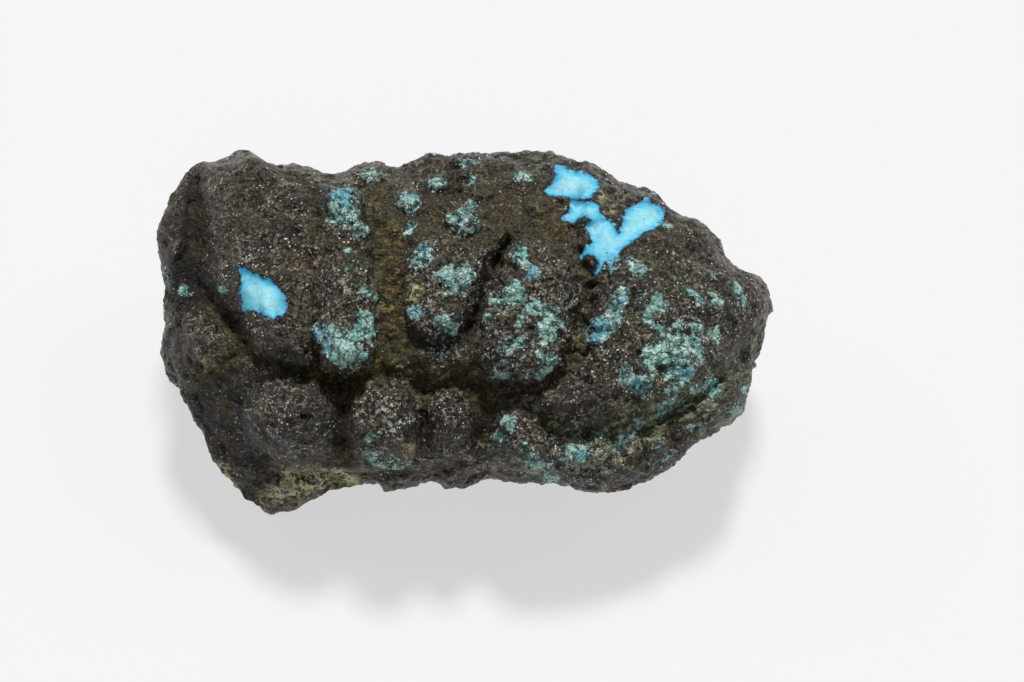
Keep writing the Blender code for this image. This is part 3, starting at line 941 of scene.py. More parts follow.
@dataclass(frozen=True)
class CrustedStone:
    """The whole stone's finish: crust, crystal clusters and open windows in one material."""

    crust: Crust = Crust()
    crystals: Crystals = Crystals()
    window: OpenStone = OpenStone()

    def trait(self, tree: Tree, trait: Trait) -> Socket:
        """Reads one of the skin's own attributes."""
        node = add_node(tree, "ShaderNodeAttribute", {"attribute_name": trait.value})
        return node.outputs["Fac"]

    def ground(
        self, tree: Tree, mm: Socket
    ) -> tuple[Socket, Socket]:
        """Colours the bare crust, with painted sheen on the grain tops and painted shade in the
        gaps between grains.

        Args:
            tree: The material's node tree.
            mm: Object coordinates in millimetres.

        Returns:
            The crust's colour, and the height of its fine relief in millimetres.
        """
        tones = self.crust
        colour: Socket | tuple[float, ...] = linear(tones.dark)
        height: Socket | float = 0.0
        drift = patchy(tree, mm, 5.0, (3.0, 0.7), (0.42, 0.64), (0.2, 1.0))
        # Where a layer has relief, its tone follows the bump that the same noise raises: the
        # lighter tones on the bump tops are partly the grains' own colour and partly painted sheen,
        # and the dark layer that reads the same noise the other way round is painted shade in the
        # gaps.
        layers = (
            (12.0, 4.0, (0.44, 0.58), 1.0, tones.brown, 0.0),
            (6.5, 5.0, (0.46, 0.60), 0.85, tones.olive, 0.0),
            (2.6, 5.0, (0.49, 0.61), 0.8, tones.grey, 0.9),
            (0.9, 3.0, (0.52, 0.66), drift, tones.crest_sheen, 0.9),
            (0.9, 3.0, (0.49, 0.38), 0.9, tones.painted_shade, 0.0),
            (0.36, 2.0, (0.56, 0.68), drift, tones.pale, 0.26),
        )
        for length, detail, span, most, tone, relief in layers:
            grain = add_node(tree, "ShaderNodeTexNoise", {}, {
                "Vector": mm, "Scale": 1 / length, "Detail": detail, "Roughness": 0.62,
            }).outputs[0]
            colour = toned(tree, colour, grain, span, most, tone)
            if relief:
                height = add_node(tree, "ShaderNodeMath", TIMES_AND_SUM, {
                    0: grain, 1: relief, 2: height,
                }).outputs[0]
        # Painted shade: the gaps between the round grains are darkened where the bump sinks them.
        grains = add_node(tree, "ShaderNodeTexVoronoi", {}, {"Vector": mm, "Scale": 1 / 0.52})
        between = grains.outputs["Distance"]
        colour = toned(tree, colour, between, (0.40, 0.75), 0.7, tones.painted_shade)
        height = add_node(tree, "ShaderNodeMath", TIMES_AND_SUM, {
            0: between, 1: -0.28, 2: height,
        }).outputs[0]
        return colour, height

    def dusted(
        self,
        tree: Tree,
        mm: Socket,
        below: Socket,
    ) -> Socket:
        """Lays soil, painted shade in the hollows, cream rind, layers and white flecks, partly
        painted sheen, over the crust.

        Args:
            tree: The material's node tree.
            mm: Object coordinates in millimetres.
            below: The bare crust's colour.

        Returns:
            The colour with them on it.
        """
        tones = self.crust
        colour = below
        films = (
            (Trait.SOIL, 1.8, (0.20, 0.46), 0.95, tones.soil_dark),
            (Trait.SOIL, 0.8, (0.47, 0.60), 0.9, tones.soil_light),
            (Trait.SOIL, 1.1, (0.54, 0.60), 0.7, tones.ochre),
            # Painted shade, very dark, in the hollows, along the crack and in the gully; at the
            # lower left partly the crust's own dark brown.
            (Trait.HOLLOW_SHADE, 3.0, (0.20, 0.45), 0.93, tones.painted_shade),
            (Trait.CREAM, 1.3, (0.47, 0.53), 0.95, tones.cream),
            (Trait.LAYER, 2.2, (0.34, 0.54), 0.8, tones.mossy),
            (Trait.LAYER, 0.8, (0.50, 0.58), 0.9, tones.layer),
            # White flecks, partly painted sheen on crests and domes.
            (Trait.FROST_AND_SHEEN, 0.9, (0.52, 0.58), 0.95, tones.frost_and_sheen),
        )
        along = add_node(tree, "ShaderNodeVectorMath", {"operation": "PROJECT"}, {
            0: mm, 1: STREAK_WAY,
        }).outputs[0]
        drawn = add_node(tree, "ShaderNodeVectorMath", TIMES_AND_SUM, {
            0: along, 1: (-STREAK_STRETCH,) * 3, 2: mm,
        }).outputs[0]
        for trait, length, span, most, tone in films:
            over = drawn if trait is Trait.LAYER else mm
            broken = patchy(tree, over, length, (4.0, 0.72), span, (0.0, most))
            share = add_node(tree, "ShaderNodeMath", PRODUCT, {
                0: self.trait(tree, trait), 1: broken,
            }).outputs[0]
            colour = add_node(tree, "ShaderNodeMix", MIXED, {
                0: share, 6: colour, 7: linear(tone),
            }).outputs[2]
        return colour

    def clustered(
        self,
        tree: Tree,
        mm: Socket,
        below: Socket,
    ) -> tuple[Socket, Socket, Socket]:
        """Lays the crystal clusters over the crust.

        Args:
            tree: The material's node tree.
            mm: Object coordinates in millimetres.
            below: The crust's colour.

        Returns:
            The colour with the clusters on it, the share that they cover, and their relief in
            millimetres.
        """
        tones = self.crystals
        cloud = add_node(tree, "ShaderNodeTexNoise", {}, {
            "Vector": mm, "Scale": 1 / 1.3, "Detail": 5.0, "Roughness": 0.78,
        }).outputs[0]
        near = add_node(tree, "ShaderNodeMath", TIMES_AND_SUM, {
            0: cloud, 1: 2.6, 2: self.trait(tree, Trait.AQUA),
        }).outputs[0]
        share = add_node(tree, "ShaderNodeMapRange", SMOOTH, {
            "Value": near, "From Min": 1.74, "From Max": 1.92,
        }).outputs[0]
        bent = add_node(tree, "ShaderNodeTexNoise", {}, {
            "Vector": mm, "Scale": 1 / 0.8, "Detail": 3.0,
        }).outputs["Color"]
        wavy = add_node(tree, "ShaderNodeVectorMath", TIMES_AND_SUM, {
            0: bent, 1: (1.3,) * 3, 2: mm,
        }).outputs[0]
        cells = add_node(tree, "ShaderNodeTexVoronoi", {}, {"Vector": wavy, "Scale": 1 / 0.95})
        pick = add_node(tree, "ShaderNodeSeparateColor", {}, {0: cells.outputs["Color"]})
        fleck = add_node(tree, "ShaderNodeTexNoise", {}, {
            "Vector": mm, "Scale": 1 / 0.6, "Detail": 3.0, "Roughness": 0.65,
        }).outputs[0]
        drift = add_node(tree, "ShaderNodeTexNoise", {}, {
            "Vector": mm, "Scale": 1 / 2.5, "Detail": 3.0,
        }).outputs[0]
        bluish = add_node(tree, "ShaderNodeMath", SUM, {
            0: drift, 1: self.trait(tree, Trait.BLUE),
        }).outputs[0]
        colour: Socket | tuple[float, ...] = linear(tones.deep)
        for source, span, most, tone in (
            (pick.outputs[0], (0.10, 0.35), 1.0, tones.body),
            (pick.outputs[0], (0.40, 0.62), 0.95, tones.bright),
            (fleck, (0.50, 0.62), 0.6, tones.bright),
            (bluish, (0.70, 1.20), 0.75, tones.blue),
            # Painted glints on the crystals, partly white crystal.
            (fleck, (0.55, 0.66), 0.9, tones.white),
            (pick.outputs[0], (0.90, 0.97), 0.7, tones.white),
            # Painted shade in the low gaps between crystals, over the dark crust there.
            (cells.outputs["Distance"], (0.48, 0.80), 0.85, tones.gap),
        ):
            colour = toned(tree, colour, source, span, most, tone)
        laid = add_node(tree, "ShaderNodeMix", MIXED, {0: share, 6: below, 7: colour})
        low_lying = add_node(tree, "ShaderNodeMath", TIMES, {
            0: cells.outputs["Distance"], 1: share,
        }).outputs[0]
        height = add_node(tree, "ShaderNodeMath", TIMES, {
            0: low_lying, 1: -0.6,
        }).outputs[0]
        return laid.outputs[2], share, height

    def opened(
        self,
        tree: Tree,
        mm: Socket,
        below: Socket,
    ) -> tuple[Socket, Socket]:
        """Opens the windows in the crust.

        Args:
            tree: The material's node tree.
            mm: Object coordinates in millimetres.
            below: The colour round the windows.

        Returns:
            The colour with the windows in it, and the share that they cover.
        """
        ragged = add_node(tree, "ShaderNodeTexNoise", {}, {
            "Vector": mm, "Scale": 1 / 0.9, "Detail": 3.0, "Roughness": 0.6,
        }).outputs[0]
        shifted = add_node(tree, "ShaderNodeMapRange", {}, {
            "Value": ragged, "To Min": -0.8, "To Max": 0.8,
        }).outputs[0]
        depth = add_node(tree, "ShaderNodeMath", SUM, {
            0: self.trait(tree, Trait.WINDOW), 1: shifted,
        }).outputs[0]
        colour = below
        shares = []
        for low, high, tone in self.window.steps:
            share = add_node(tree, "ShaderNodeMapRange", SMOOTH, {
                "Value": depth, "From Min": low, "From Max": high,
            }).outputs[0]
            colour = add_node(tree, "ShaderNodeMix", MIXED, {
                0: share, 6: colour, 7: linear(tone),
            }).outputs[2]
            shares.append(share)
        deeper = add_node(tree, "ShaderNodeMath", PRODUCT, {
            0: self.trait(tree, Trait.BLUE), 1: shares[2],
        }).outputs[0]
        softened = add_node(tree, "ShaderNodeMath", PRODUCT, {0: deeper, 1: 0.6}).outputs[0]
        colour = add_node(tree, "ShaderNodeMix", MIXED, {
            0: softened, 6: colour, 7: linear(self.window.deeper),
        }).outputs[2]
        bent = add_node(tree, "ShaderNodeTexNoise", {}, {
            "Vector": mm, "Scale": 1 / 2.0, "Detail": 2.0,
        }).outputs["Color"]
        wavy = add_node(tree, "ShaderNodeMix", MIXED, {0: 0.72, 6: mm, 7: bent}).outputs[2]
        cracks = add_node(tree, "ShaderNodeTexVoronoi", {"feature": "DISTANCE_TO_EDGE"}, {
            "Vector": wavy, "Scale": 1 / 0.9,
        }).outputs["Distance"]
        lines = add_node(tree, "ShaderNodeMapRange", SMOOTH, {
            "Value": cracks, "From Min": 0.035, "From Max": 0.0, "To Max": 0.55,
        }).outputs[0]
        smudges = patchy(tree, mm, 1.5, (4.0, 0.7), (0.52, 0.72), (0.0, 0.45))
        for marks, tone in ((smudges, self.window.smudge), (lines, self.window.crack)):
            inside = add_node(tree, "ShaderNodeMath", PRODUCT, {0: marks, 1: shares[1]}).outputs[0]
            colour = add_node(tree, "ShaderNodeMix", MIXED, {
                0: inside, 6: colour, 7: linear(tone),
            }).outputs[2]
        return colour, shares[0]

    def glinting(
        self,
        tree: Tree,
        mm: Socket,
        below: Socket,
    ) -> tuple[Socket, Socket]:
        """Paints bright glints, painted highlights on tiny facets, over the crust.

        Args:
            tree: The material's node tree.
            mm: Object coordinates in millimetres.
            below: The crust's colour.

        Returns:
            The colour with the painted glints on it, and the share that they cover.
        """
        # Painted glints, drawn as coarse as they need to be to show: finer ones blur into the
        # ground.
        cells = add_node(tree, "ShaderNodeTexVoronoi", {}, {"Vector": mm, "Scale": 1 / 0.42})
        pick = add_node(tree, "ShaderNodeSeparateColor", {}, {0: cells.outputs["Color"]})
        chosen = add_node(tree, "ShaderNodeMapRange", SMOOTH, {
            "Value": pick.outputs[1], "From Min": 0.70, "From Max": 0.90,
        }).outputs[0]
        near = add_node(tree, "ShaderNodeMapRange", SMOOTH, {
            "Value": cells.outputs["Distance"], "From Min": 0.48, "From Max": 0.28,
        }).outputs[0]
        drift = patchy(tree, mm, 4.0, (4.0, 0.7), (0.42, 0.64))
        grain = add_node(tree, "ShaderNodeMath", PRODUCT, {0: chosen, 1: near}).outputs[0]
        share = add_node(tree, "ShaderNodeMath", PRODUCT, {0: grain, 1: drift}).outputs[0]
        laid = add_node(tree, "ShaderNodeMix", MIXED, {
            0: share, 6: below, 7: linear(self.crust.glint),
        })
        return laid.outputs[2], share

    def material(self) -> bpy.types.Material:
        """Makes the finish.

        Returns:
            A dull granular stone that turns smoother and glossier in the windows.
        """
        material, shader, mm = start_material("crusted_turquoise")
        tree = material.node_tree
        colour, relief = self.ground(tree, mm)
        colour, glints = self.glinting(tree, mm, colour)
        colour = self.dusted(tree, mm, colour)
        colour, clusters, beads = self.clustered(tree, mm, colour)
        colour, windows = self.opened(tree, mm, colour)
        tree.links.new(colour, shader.inputs["Base Color"])
        rough: Socket | float = self.crust.roughness
        for share, roughness in (
            (glints, 0.2),
            (self.trait(tree, Trait.SOIL), self.crust.soil_roughness),
            (self.trait(tree, Trait.HOLLOW_SHADE), self.crust.soil_roughness),
            (clusters, self.crystals.roughness),
            (windows, self.window.roughness),
        ):
            rough = add_node(tree, "ShaderNodeMix", {}, {
                0: share, 2: rough, 3: roughness,
            }).outputs[0]
        tree.links.new(rough, shader.inputs["Roughness"])
        tooth = add_node(tree, "ShaderNodeMapRange", {}, {
            "Value": windows, "To Min": 1.0, "To Max": 0.05,
        }).outputs[0]
        beaded = add_node(tree, "ShaderNodeMath", SUM, {0: relief, 1: beads}).outputs[0]
        height = add_node(tree, "ShaderNodeMath", TIMES, {
            0: beaded, 1: tooth,
        }).outputs[0]
        bump = add_node(tree, "ShaderNodeBump", {}, {"Height": height, "Distance": MM})
        tree.links.new(bump.outputs[0], shader.inputs["Normal"])
        shader.inputs["IOR"].default_value = 1.52
        return material


@dataclass(frozen=True)
class LooseGrains:
    """Small faceted grains in three tones, picked grain by grain."""

    name: str
    low: str
    middle: str
    high: str
    roughness: float

    def material(self) -> bpy.types.Material:
        """Makes the finish.

        Returns:
            A fairly glossy stone whose tone changes from grain to grain.
        """
        material, shader, mm = start_material(self.name)
        tree = material.node_tree
        picked = add_node(tree, "ShaderNodeAttribute", {
            "attribute_name": Scatter.TONE,
        }).outputs["Fac"]
        colour: Socket | tuple[float, ...] = linear(self.low)
        for span, tone in (((0.25, 0.55), self.middle), ((0.70, 0.95), self.high)):
            colour = toned(tree, colour, picked, span, 1.0, tone)
        dust = patchy(tree, mm, 0.3, (2.0, 0.5), (0.5, 0.7), (0.0, 0.5))
        colour = add_node(tree, "ShaderNodeMix", MIXED, {
            0: dust, 6: colour, 7: linear(self.low),
        }).outputs[2]
        tree.links.new(colour, shader.inputs["Base Color"])
        shader.inputs["Roughness"].default_value = self.roughness
        shader.inputs["IOR"].default_value = 1.6
        return material


@dataclass(frozen=True)
class Scatter:
    """Geometry Nodes that strew small faceted grains over the skin where a trait is high."""

    TONE = "grain_tone"

    name: str
    trait: Trait
    per_mm2: float
    smallest: float
    largest: float
    squash: float
    seed: int

    def tree(self) -> Tree:
        """Builds the node tree.

        Returns:
            A tree that turns the skin into the grains on it.
        """
        tree = bpy.data.node_groups.new(f"{self.name}_scatter", "GeometryNodeTree")
        tree.interface.new_socket("Geometry", in_out="INPUT", socket_type="NodeSocketGeometry")
        for name, kind in (
            ("Grains per mm2", "NodeSocketFloat"), ("Smallest", "NodeSocketFloat"),
            ("Largest", "NodeSocketFloat"), ("Squash", "NodeSocketFloat"),
            ("Seed", "NodeSocketInt"), ("Finish", "NodeSocketMaterial"),
        ):
            tree.interface.new_socket(name, in_out="INPUT", socket_type=kind)
        tree.interface.new_socket("Geometry", in_out="OUTPUT", socket_type="NodeSocketGeometry")
        given = add_node(tree, "NodeGroupInput").outputs
        share = add_node(tree, "GeometryNodeInputNamedAttribute", {"data_type": "FLOAT"}, {
            "Name": self.trait.value,
        }).outputs[0]
        crowd = add_node(tree, "ShaderNodeMath", TIMES, {
            0: share, 1: given["Grains per mm2"],
        }).outputs[0]
        density = add_node(tree, "ShaderNodeMath", TIMES, {
            0: crowd, 1: 1 / MM**2,
        }).outputs[0]
        strewn = add_node(tree, "GeometryNodeDistributePointsOnFaces", {}, {
            "Mesh": given["Geometry"], "Density": density, "Seed": given["Seed"],
        }).outputs["Points"]
        turn = add_node(tree, "FunctionNodeRandomValue", {"data_type": "FLOAT_VECTOR"}, {
            "Max": (math.tau,) * 3, "Seed": given["Seed"],
        }).outputs[0]
        size = add_node(tree, "FunctionNodeRandomValue", {"data_type": "FLOAT"}, {
            2: given["Smallest"], 3: given["Largest"], "Seed": given["Seed"],
        }).outputs[1]
        shape = add_node(tree, "ShaderNodeCombineXYZ", {}, {0: 1.0, 1: 0.8, 2: given["Squash"]})
        scale = add_node(tree, "ShaderNodeVectorMath", {"operation": "SCALE"}, {
            0: shape.outputs[0], "Scale": size,
        }).outputs[0]
        grain = add_node(tree, "GeometryNodeMeshIcoSphere", {}, {
            "Radius": MM, "Subdivisions": 1,
        }).outputs[0]
        grains = add_node(tree, "GeometryNodeInstanceOnPoints", {}, {
            "Points": strewn, "Instance": grain, "Rotation": turn, "Scale": scale,
        }).outputs[0]
        tone = add_node(tree, "FunctionNodeRandomValue", {"data_type": "FLOAT"}, {
            "Seed": given["Seed"],
        }).outputs[1]
        toned = add_node(
            tree,
            "GeometryNodeStoreNamedAttribute",
            {"data_type": "FLOAT", "domain": "INSTANCE"},
            {"Geometry": grains, "Name": self.TONE, "Value": tone},
        ).outputs[0]
        real = add_node(tree, "GeometryNodeRealizeInstances", {}, {0: toned}).outputs[0]
        finished = add_node(tree, "GeometryNodeSetMaterial", {}, {
            "Geometry": real, "Material": given["Finish"],
        }).outputs[0]
        add_node(tree, "NodeGroupOutput", {}, {0: finished})
        return tree

    def build(self, skin: bpy.types.Mesh, finish: bpy.types.Material) -> bpy.types.Object:
        """Strews the grains over the skin.

        Args:
            skin: The stone's skin.
            finish: The grains' material.

        Returns:
            The grains as one plain mesh.
        """
        piece = bpy.data.objects.new(self.name, skin)
        bpy.context.scene.collection.objects.link(piece)
        tree = self.tree()
        scatter = piece.modifiers.new("scatter", "NODES")
        scatter.node_group = tree
        values = {
            "Grains per mm2": self.per_mm2, "Smallest": self.smallest,
            "Largest": self.largest, "Squash": self.squash, "Seed": self.seed,
            "Finish": finish,
        }
        for item in tree.interface.items_tree:
            if item.in_out == "INPUT" and item.name in values:
                scatter[item.identifier] = values[item.name]
        graph = bpy.context.evaluated_depsgraph_get()
        mesh = bpy.data.meshes.new_from_object(piece.evaluated_get(graph))
        mesh.name = self.name
        piece.modifiers.remove(scatter)
        piece.data = mesh
        return piece


@dataclass
class StoneSkin:
    """The stone's skin, fine enough to carry its grain, pits, layers and windows."""

    form: NoduleForm = field(default_factory=NoduleForm)
    cells: tuple[int, int, int] = (200, 114, 80)
    crowding: float = 0.28
    tooth_height: float = 0.30
    tooth_length: float = 1.9
    grain_height: float = 0.46
    grain_share: tuple[float, float] = (0.45, 0.6)
    grain_length: float = 1.15
    knob_height: float = 0.85
    knob_length: float = 2.4
    bead_height: float = 0.45
    bead_length: float = 1.3
    crumb_height: float = 0.5
    crumb_length: float = 1.8
    pit_depth: float = 0.5
    pit_length: float = 2.1
    pit_span: tuple[float, float] = (0.22, 0.55)
    frost_fill: float = 0.5
    back_knobs: float = 0.3
    window_drop: float = 0.28
    window_edge: tuple[float, float] = (-0.2, 0.5)
    window_tooth: float = 0.12
    layer_step: float = 0.28
    layer_spacing: float = 1.25
    layer_count: float = 3.0
    layer_half_width: float = 0.5
    layer_lines: tuple[Points, ...] = (
        ((25, -14.2), (31, -12.6), (38, -9.6), (44, -5.2), (48, 0.2), (50, 4)),
        ((11.5, -9.5), (12.5, -11.5), (15.5, -14.2), (19, -15.2), (25, -14.2)),
        ((-28.5, -21), (-25, -21.8), (-21, -22.3)),
    )
    front_facing: tuple[float, float] = (-0.25, -0.02)
    window_facing: float = -0.15
    window_raggedness: float = 0.3
    window_ragged_length: float = 2.4
    hidden_facing: float = -0.1
    hidden_clusters: int = 110
    hidden_cluster_radius: tuple[float, float] = (1.0, 2.6)
    hidden_soil: int = 40
    hidden_soil_radius: tuple[float, float] = (2.0, 6.0)
    hidden_windows: int = 5
    hidden_window_radius: tuple[float, float] = (2.5, 4.0)
    hidden_window_height: float = 4.0
    hidden_seed: int = 5
    hollow_rounds: int = 90
    hollow_depth: tuple[float, float] = (0.45, 1.9)
    valley_rounds: int = 400
    valley_depth: tuple[float, float] = (0.25, 1.6)
    crest_rounds: int = 24
    crest_height: tuple[float, float] = (0.05, 0.40)
    crest_sheen_share: float = 0.22
    frost_and_sheen_length: float = 1.7
    frost_and_sheen_span: tuple[float, float] = (-0.15, 0.25)
    cluster_length: float = 1.6
    bare_foot: tuple[float, float] = (0.8, 2.0)

    def traits(self, surface: Surface, normals: np.ndarray) -> dict[Trait, np.ndarray]:
        """Works out what each point of the skin is made of, and where shade and sheen are painted
        on it.

        Args:
            surface: The stone's skin.
            normals: Its normals.

        Returns:
            A number for each point under each trait.
        """
        points, places = surface.points, surface.places
        front = smooth_step(surface.facing, *self.front_facing)
        back = 1.0 - front
        hidden = surface.facing < self.hidden_facing
        outer = hidden & (points[:, 2] > self.hidden_window_height)
        ragged = self.window_raggedness * unevenness(points, self.window_ragged_length, 3)
        window = np.full(len(points), -FAR)
        for outline in WINDOWS:
            window = np.maximum(window, depth_inside(places, outline))
        window = np.where(surface.facing > self.window_facing, window, -FAR)
        opened, clusters, soil = (
            spots_on(points, allowed, count, radius, self.hidden_seed + number)
            for number, (allowed, count, radius) in enumerate((
                (outer, self.hidden_windows, self.hidden_window_radius),
                (hidden, self.hidden_clusters, self.hidden_cluster_radius),
                (hidden, self.hidden_soil, self.hidden_soil_radius),
            ))
        )
        window = np.clip(np.maximum(window, opened) + ragged, -4.0, 6.0)
        hollow = smooth_step(hollows(surface, normals, self.hollow_rounds), *self.hollow_depth)
        valley = smooth_step(hollows(surface, normals, self.valley_rounds), *self.valley_depth)
        # Crests get painted sheen, laid with the white flecks.
        crest_sheen = smooth_step(-hollows(surface, normals, self.crest_rounds), *self.crest_height)
        frost_and_sheen = front * laid_by(FROST_AND_SHEEN, surface) + self.crest_sheen_share * crest_sheen
        clumps = unevenness(points + 0.5 * ELSEWHERE, self.frost_and_sheen_length, 3)
        frost_and_sheen *= smooth_step(clumps, *self.frost_and_sheen_span)
        layer = np.zeros(len(points))
        for line in self.layer_lines:
            away = line_distance(places, rounded(line, closed=False), False)
            layer = np.maximum(layer, np.exp(-((away / self.layer_half_width) ** 2)))
        layer = np.maximum(layer, laid_by(STREAKED, surface))
        broken = unevenness(points + 1.5 * ELSEWHERE, self.cluster_length, 3)
        aqua = np.maximum(
            front * laid_by(AQUA, surface), back * smooth_step(clusters, -0.6, 1.0)
        )
        aqua = np.clip(1.1 * aqua + 0.9 * broken * np.sqrt(aqua), 0.0, 1.0)
        grounded = smooth_step(points[:, 2], *self.bare_foot)
        return {
            Trait.WINDOW: window,
            Trait.AQUA: grounded * aqua,
            Trait.BLUE: front * laid_by(BLUE, surface),
            Trait.SOIL: np.clip(
                front * laid_by(SOIL, surface)
                + 0.7 * back * smooth_step(soil, -1.0, 2.0)
                + 0.75 * valley,
                0.0,
                1.0,
            ),
            # Painted shade in the hollows and under the shade patches.
            Trait.HOLLOW_SHADE: np.maximum(0.5 * hollow, front * laid_by(SHADE, surface)),
            Trait.FROST_AND_SHEEN: grounded * np.clip(frost_and_sheen, 0.0, 1.0),
            Trait.CREAM: front * laid_by(CREAM, surface),
            Trait.LAYER: front * layer,
        }

    def roughened(
        self, surface: Surface, normals: np.ndarray, traits: dict[Trait, np.ndarray]
    ) -> np.ndarray:
        """Works the crust's tooth, grains, pits and layers into the skin.

        Args:
            surface: The stone's skin.
            normals: Its normals.
            traits: What each point is made of.

        Returns:
            The roughened points, none of them under the ground.
        """
        points, places = surface.points, surface.places
        crusted = 1.0 - smooth_step(traits[Trait.WINDOW], *self.window_edge)
        height = self.tooth_height * unevenness(points, self.tooth_length, 3)
        knobbly = laid_by(KNOBBLY, surface)
        knobbly = np.where(surface.facing > 0.0, knobbly, self.back_knobs)
        grains = round_grains(points, self.grain_length) - 0.5
        plain, knobby = self.grain_share
        height += self.grain_height * grains * (plain + knobby * knobbly)
        height += self.knob_height * knobbly * (round_grains(points, self.knob_length) - 0.5)
        height += self.bead_height * traits[Trait.AQUA] * round_grains(points, self.bead_length)
        crumbs = round_grains(points + 0.75 * ELSEWHERE, self.crumb_length) - 0.5
        height += self.crumb_height * traits[Trait.SOIL] * crumbs
        pitted = unevenness(points + 2.0 * ELSEWHERE, self.pit_length, 1)
        deep = smooth_step(pitted, *self.pit_span)
        height -= self.pit_depth * deep * (1.0 - self.frost_fill * traits[Trait.FROST_AND_SHEEN])
        away = line_distance(places, rounded(self.layer_lines[0], closed=False), False)
        steps = np.mod(away / self.layer_spacing, 1.0)
        banded = (away < self.layer_count * self.layer_spacing) & (surface.facing > -0.2)
        height += np.where(banded, self.layer_step * (0.5 - steps), 0.0)
        height *= self.window_tooth + (1.0 - self.window_tooth) * crusted
        height -= self.window_drop * (1.0 - crusted)
        rough = points + normals * height[:, None]
        rough[:, 2] = np.maximum(rough[:, 2], 0.0)
        return rough

    def build(self) -> bpy.types.Object:
        """Makes the skin as one closed mesh that carries its traits."""
        surface = self.form.surface(self.cells, self.crowding)
        normals = vertex_normals(surface.points, surface.quads)
        traits = self.traits(surface, normals)
        points = self.roughened(surface, normals, traits)
        mesh = bpy.data.meshes.new("stone_skin")
        mesh.from_pydata((points * MM).tolist(), [], surface.quads.tolist())
        mesh.shade_smooth()
        for trait, values in traits.items():
            layer = mesh.attributes.new(trait.value, "FLOAT", "POINT")
            layer.data.foreach_set("value", values.astype(np.float32))
        piece = bpy.data.objects.new("stone_skin", mesh)
        bpy.context.scene.collection.objects.link(piece)
        return piece

    def dress(self, piece: bpy.types.Object) -> None:
        """Gives the skin its finish and its place in the frame."""
        piece.data.materials.clear()
        piece.data.materials.append(CrustedStone().material())
        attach(piece, BODY)
        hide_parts(NODE)


@dataclass
class CrystalDruse:
    """The small crystals and grains that stand on the skin."""

    crystals: Scatter = Scatter("aqua_crystals", Trait.AQUA, 4.5, 0.06, 0.17, 0.7, 3)
    grains: Scatter = Scatter("pale_grains", Trait.FROST_AND_SHEEN, 4.0, 0.06, 0.14, 0.8, 4)
    crystal_finish: LooseGrains = LooseGrains(
        "aqua_crystal", "#305c5b", "#6aa9a5", "#d8ece6", 0.2
    )
    grain_finish: LooseGrains = LooseGrains(
        "pale_grain", "#5a574c", "#9b998c", "#efeee6", 0.25
    )

    def build(self, skin: bpy.types.Object) -> list[bpy.types.Object]:
        """Strews the crystals and the grains over the skin.

        Args:
            skin: The stone's skin.

        Returns:
            One piece for each kind.
        """
        pairs = ((self.crystals, self.crystal_finish), (self.grains, self.grain_finish))
        return [scatter.build(skin.data, finish.material()) for scatter, finish in pairs]

    def dress(self, pieces: list[bpy.types.Object]) -> None:
        """Gives each piece its place in the frame."""
        for piece in pieces:
            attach(piece, BODY)


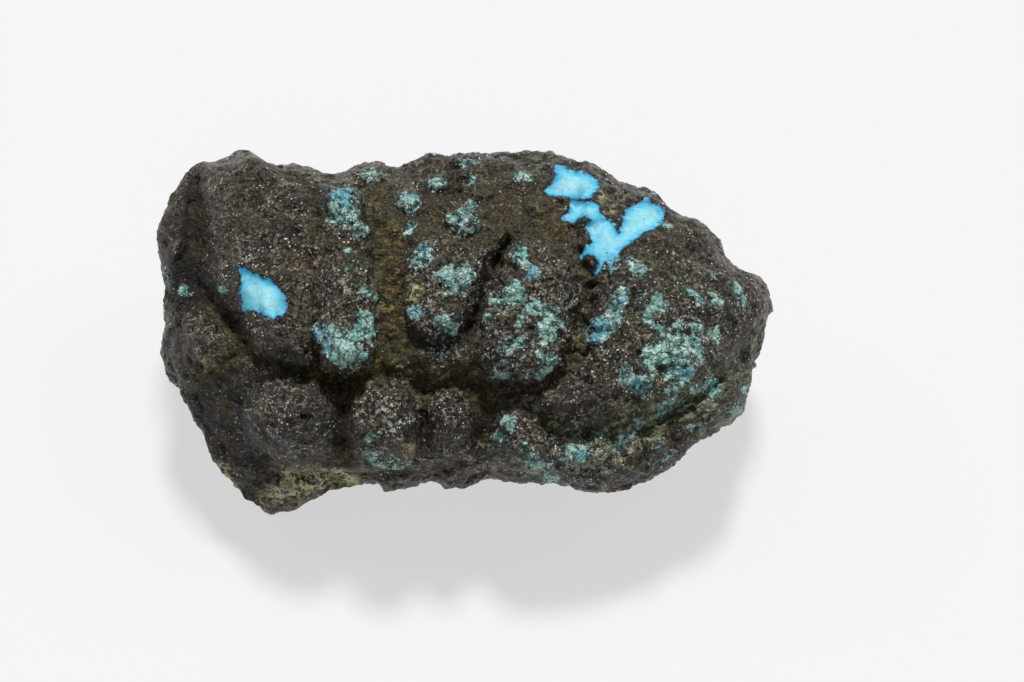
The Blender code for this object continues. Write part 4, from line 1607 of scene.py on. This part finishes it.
@dataclass
class Studio:
    """The pale floor, the soft lights and the camera."""

    face: ShowFace = field(default_factory=ShowFace)
    floor_half: float = 2.0
    floor_tone: str = "#8c8c8c"
    lens: float = 75.0
    sensor: float = 36.0
    glow_tone: str = "#ffffff"
    floor_glow: float = 0.60
    surround: float = 0.15
    lamps: tuple[tuple[tuple[float, float, float], float, float], ...] = (
        ((0.05, 0.42, 1.00), 12.0, 3.00),
        ((-0.80, 0.35, 0.80), 25.0, 0.22),
        ((0.80, 0.25, 0.80), 25.0, 0.34),
        ((0.15, -0.90, 0.70), 30.0, 0.15),
    )

    def lay_floor(self) -> None:
        """Lays a plain pale floor under the stone."""
        half = self.floor_half
        mesh = bpy.data.meshes.new("floor")
        corners = [(-half, -half, 0), (half, -half, 0), (half, half, 0), (-half, half, 0)]
        mesh.from_pydata(corners, [], [(0, 1, 2, 3)])
        material = bpy.data.materials.new("pale_floor")
        material.use_nodes = True
        shader = material.node_tree.nodes["Principled BSDF"]
        shader.inputs["Base Color"].default_value = linear(self.floor_tone)
        shader.inputs["Roughness"].default_value = 0.9
        shader.inputs["Specular IOR Level"].default_value = 0.2
        shader.inputs["Emission Color"].default_value = linear(self.glow_tone)
        shader.inputs["Emission Strength"].default_value = self.floor_glow
        mesh.materials.append(material)
        floor = bpy.data.objects.new("floor", mesh)
        bpy.context.scene.collection.objects.link(floor)

    def hang_lamps(self) -> None:
        """Hangs wide soft lamps that look at the stone, in an even pale surround."""
        for number, (place, width, power) in enumerate(self.lamps):
            lamp = bpy.data.lights.new(f"soft_lamp_{number}", "SUN")
            lamp.angle = math.radians(width)
            lamp.energy = power
            holder = bpy.data.objects.new(lamp.name, lamp)
            holder.location = place
            holder.rotation_euler = (-Vector(place)).to_track_quat("-Z", "Y").to_euler()
            bpy.context.scene.collection.objects.link(holder)
        world = bpy.data.worlds.new("pale_surround")
        world.use_nodes = True
        world.node_tree.nodes["Background"].inputs["Color"].default_value = (1, 1, 1, 1)
        world.node_tree.nodes["Background"].inputs["Strength"].default_value = self.surround
        bpy.context.scene.world = world
        bpy.context.scene.view_settings.view_transform = "Standard"

    def set_camera(self) -> None:
        """Sets the camera square on to the show face."""
        lens = bpy.data.cameras.new("view")
        lens.lens = self.lens
        lens.sensor_width = self.sensor
        lens.clip_start = 0.01
        camera = bpy.data.objects.new("view", lens)
        camera.location = self.face.eye()
        camera.rotation_euler = (-self.face.outward()).to_track_quat("-Z", "Y").to_euler()
        bpy.context.scene.collection.objects.link(camera)
        bpy.context.scene.camera = camera


def report(piece: bpy.types.Object) -> None:
    """Logs a piece's name and how many triangles it has."""
    faces = sum(len(polygon.vertices) - 2 for polygon in piece.data.polygons)
    LOG.info("%s: %d triangles", piece.name, faces)


def main() -> None:
    """Loads the frame, makes the stone's pieces and sets up the studio."""
    logging.basicConfig(level=logging.INFO, format="%(message)s")
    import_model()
    skin_maker = StoneSkin()
    skin = skin_maker.build()
    druse = CrystalDruse()
    strewn = druse.build(skin)
    skin_maker.dress(skin)
    druse.dress(strewn)
    for piece in (skin, *strewn):
        report(piece)
    studio = Studio()
    studio.lay_floor()
    studio.hang_lamps()
    studio.set_camera()


if __name__ == "__main__":
    main()
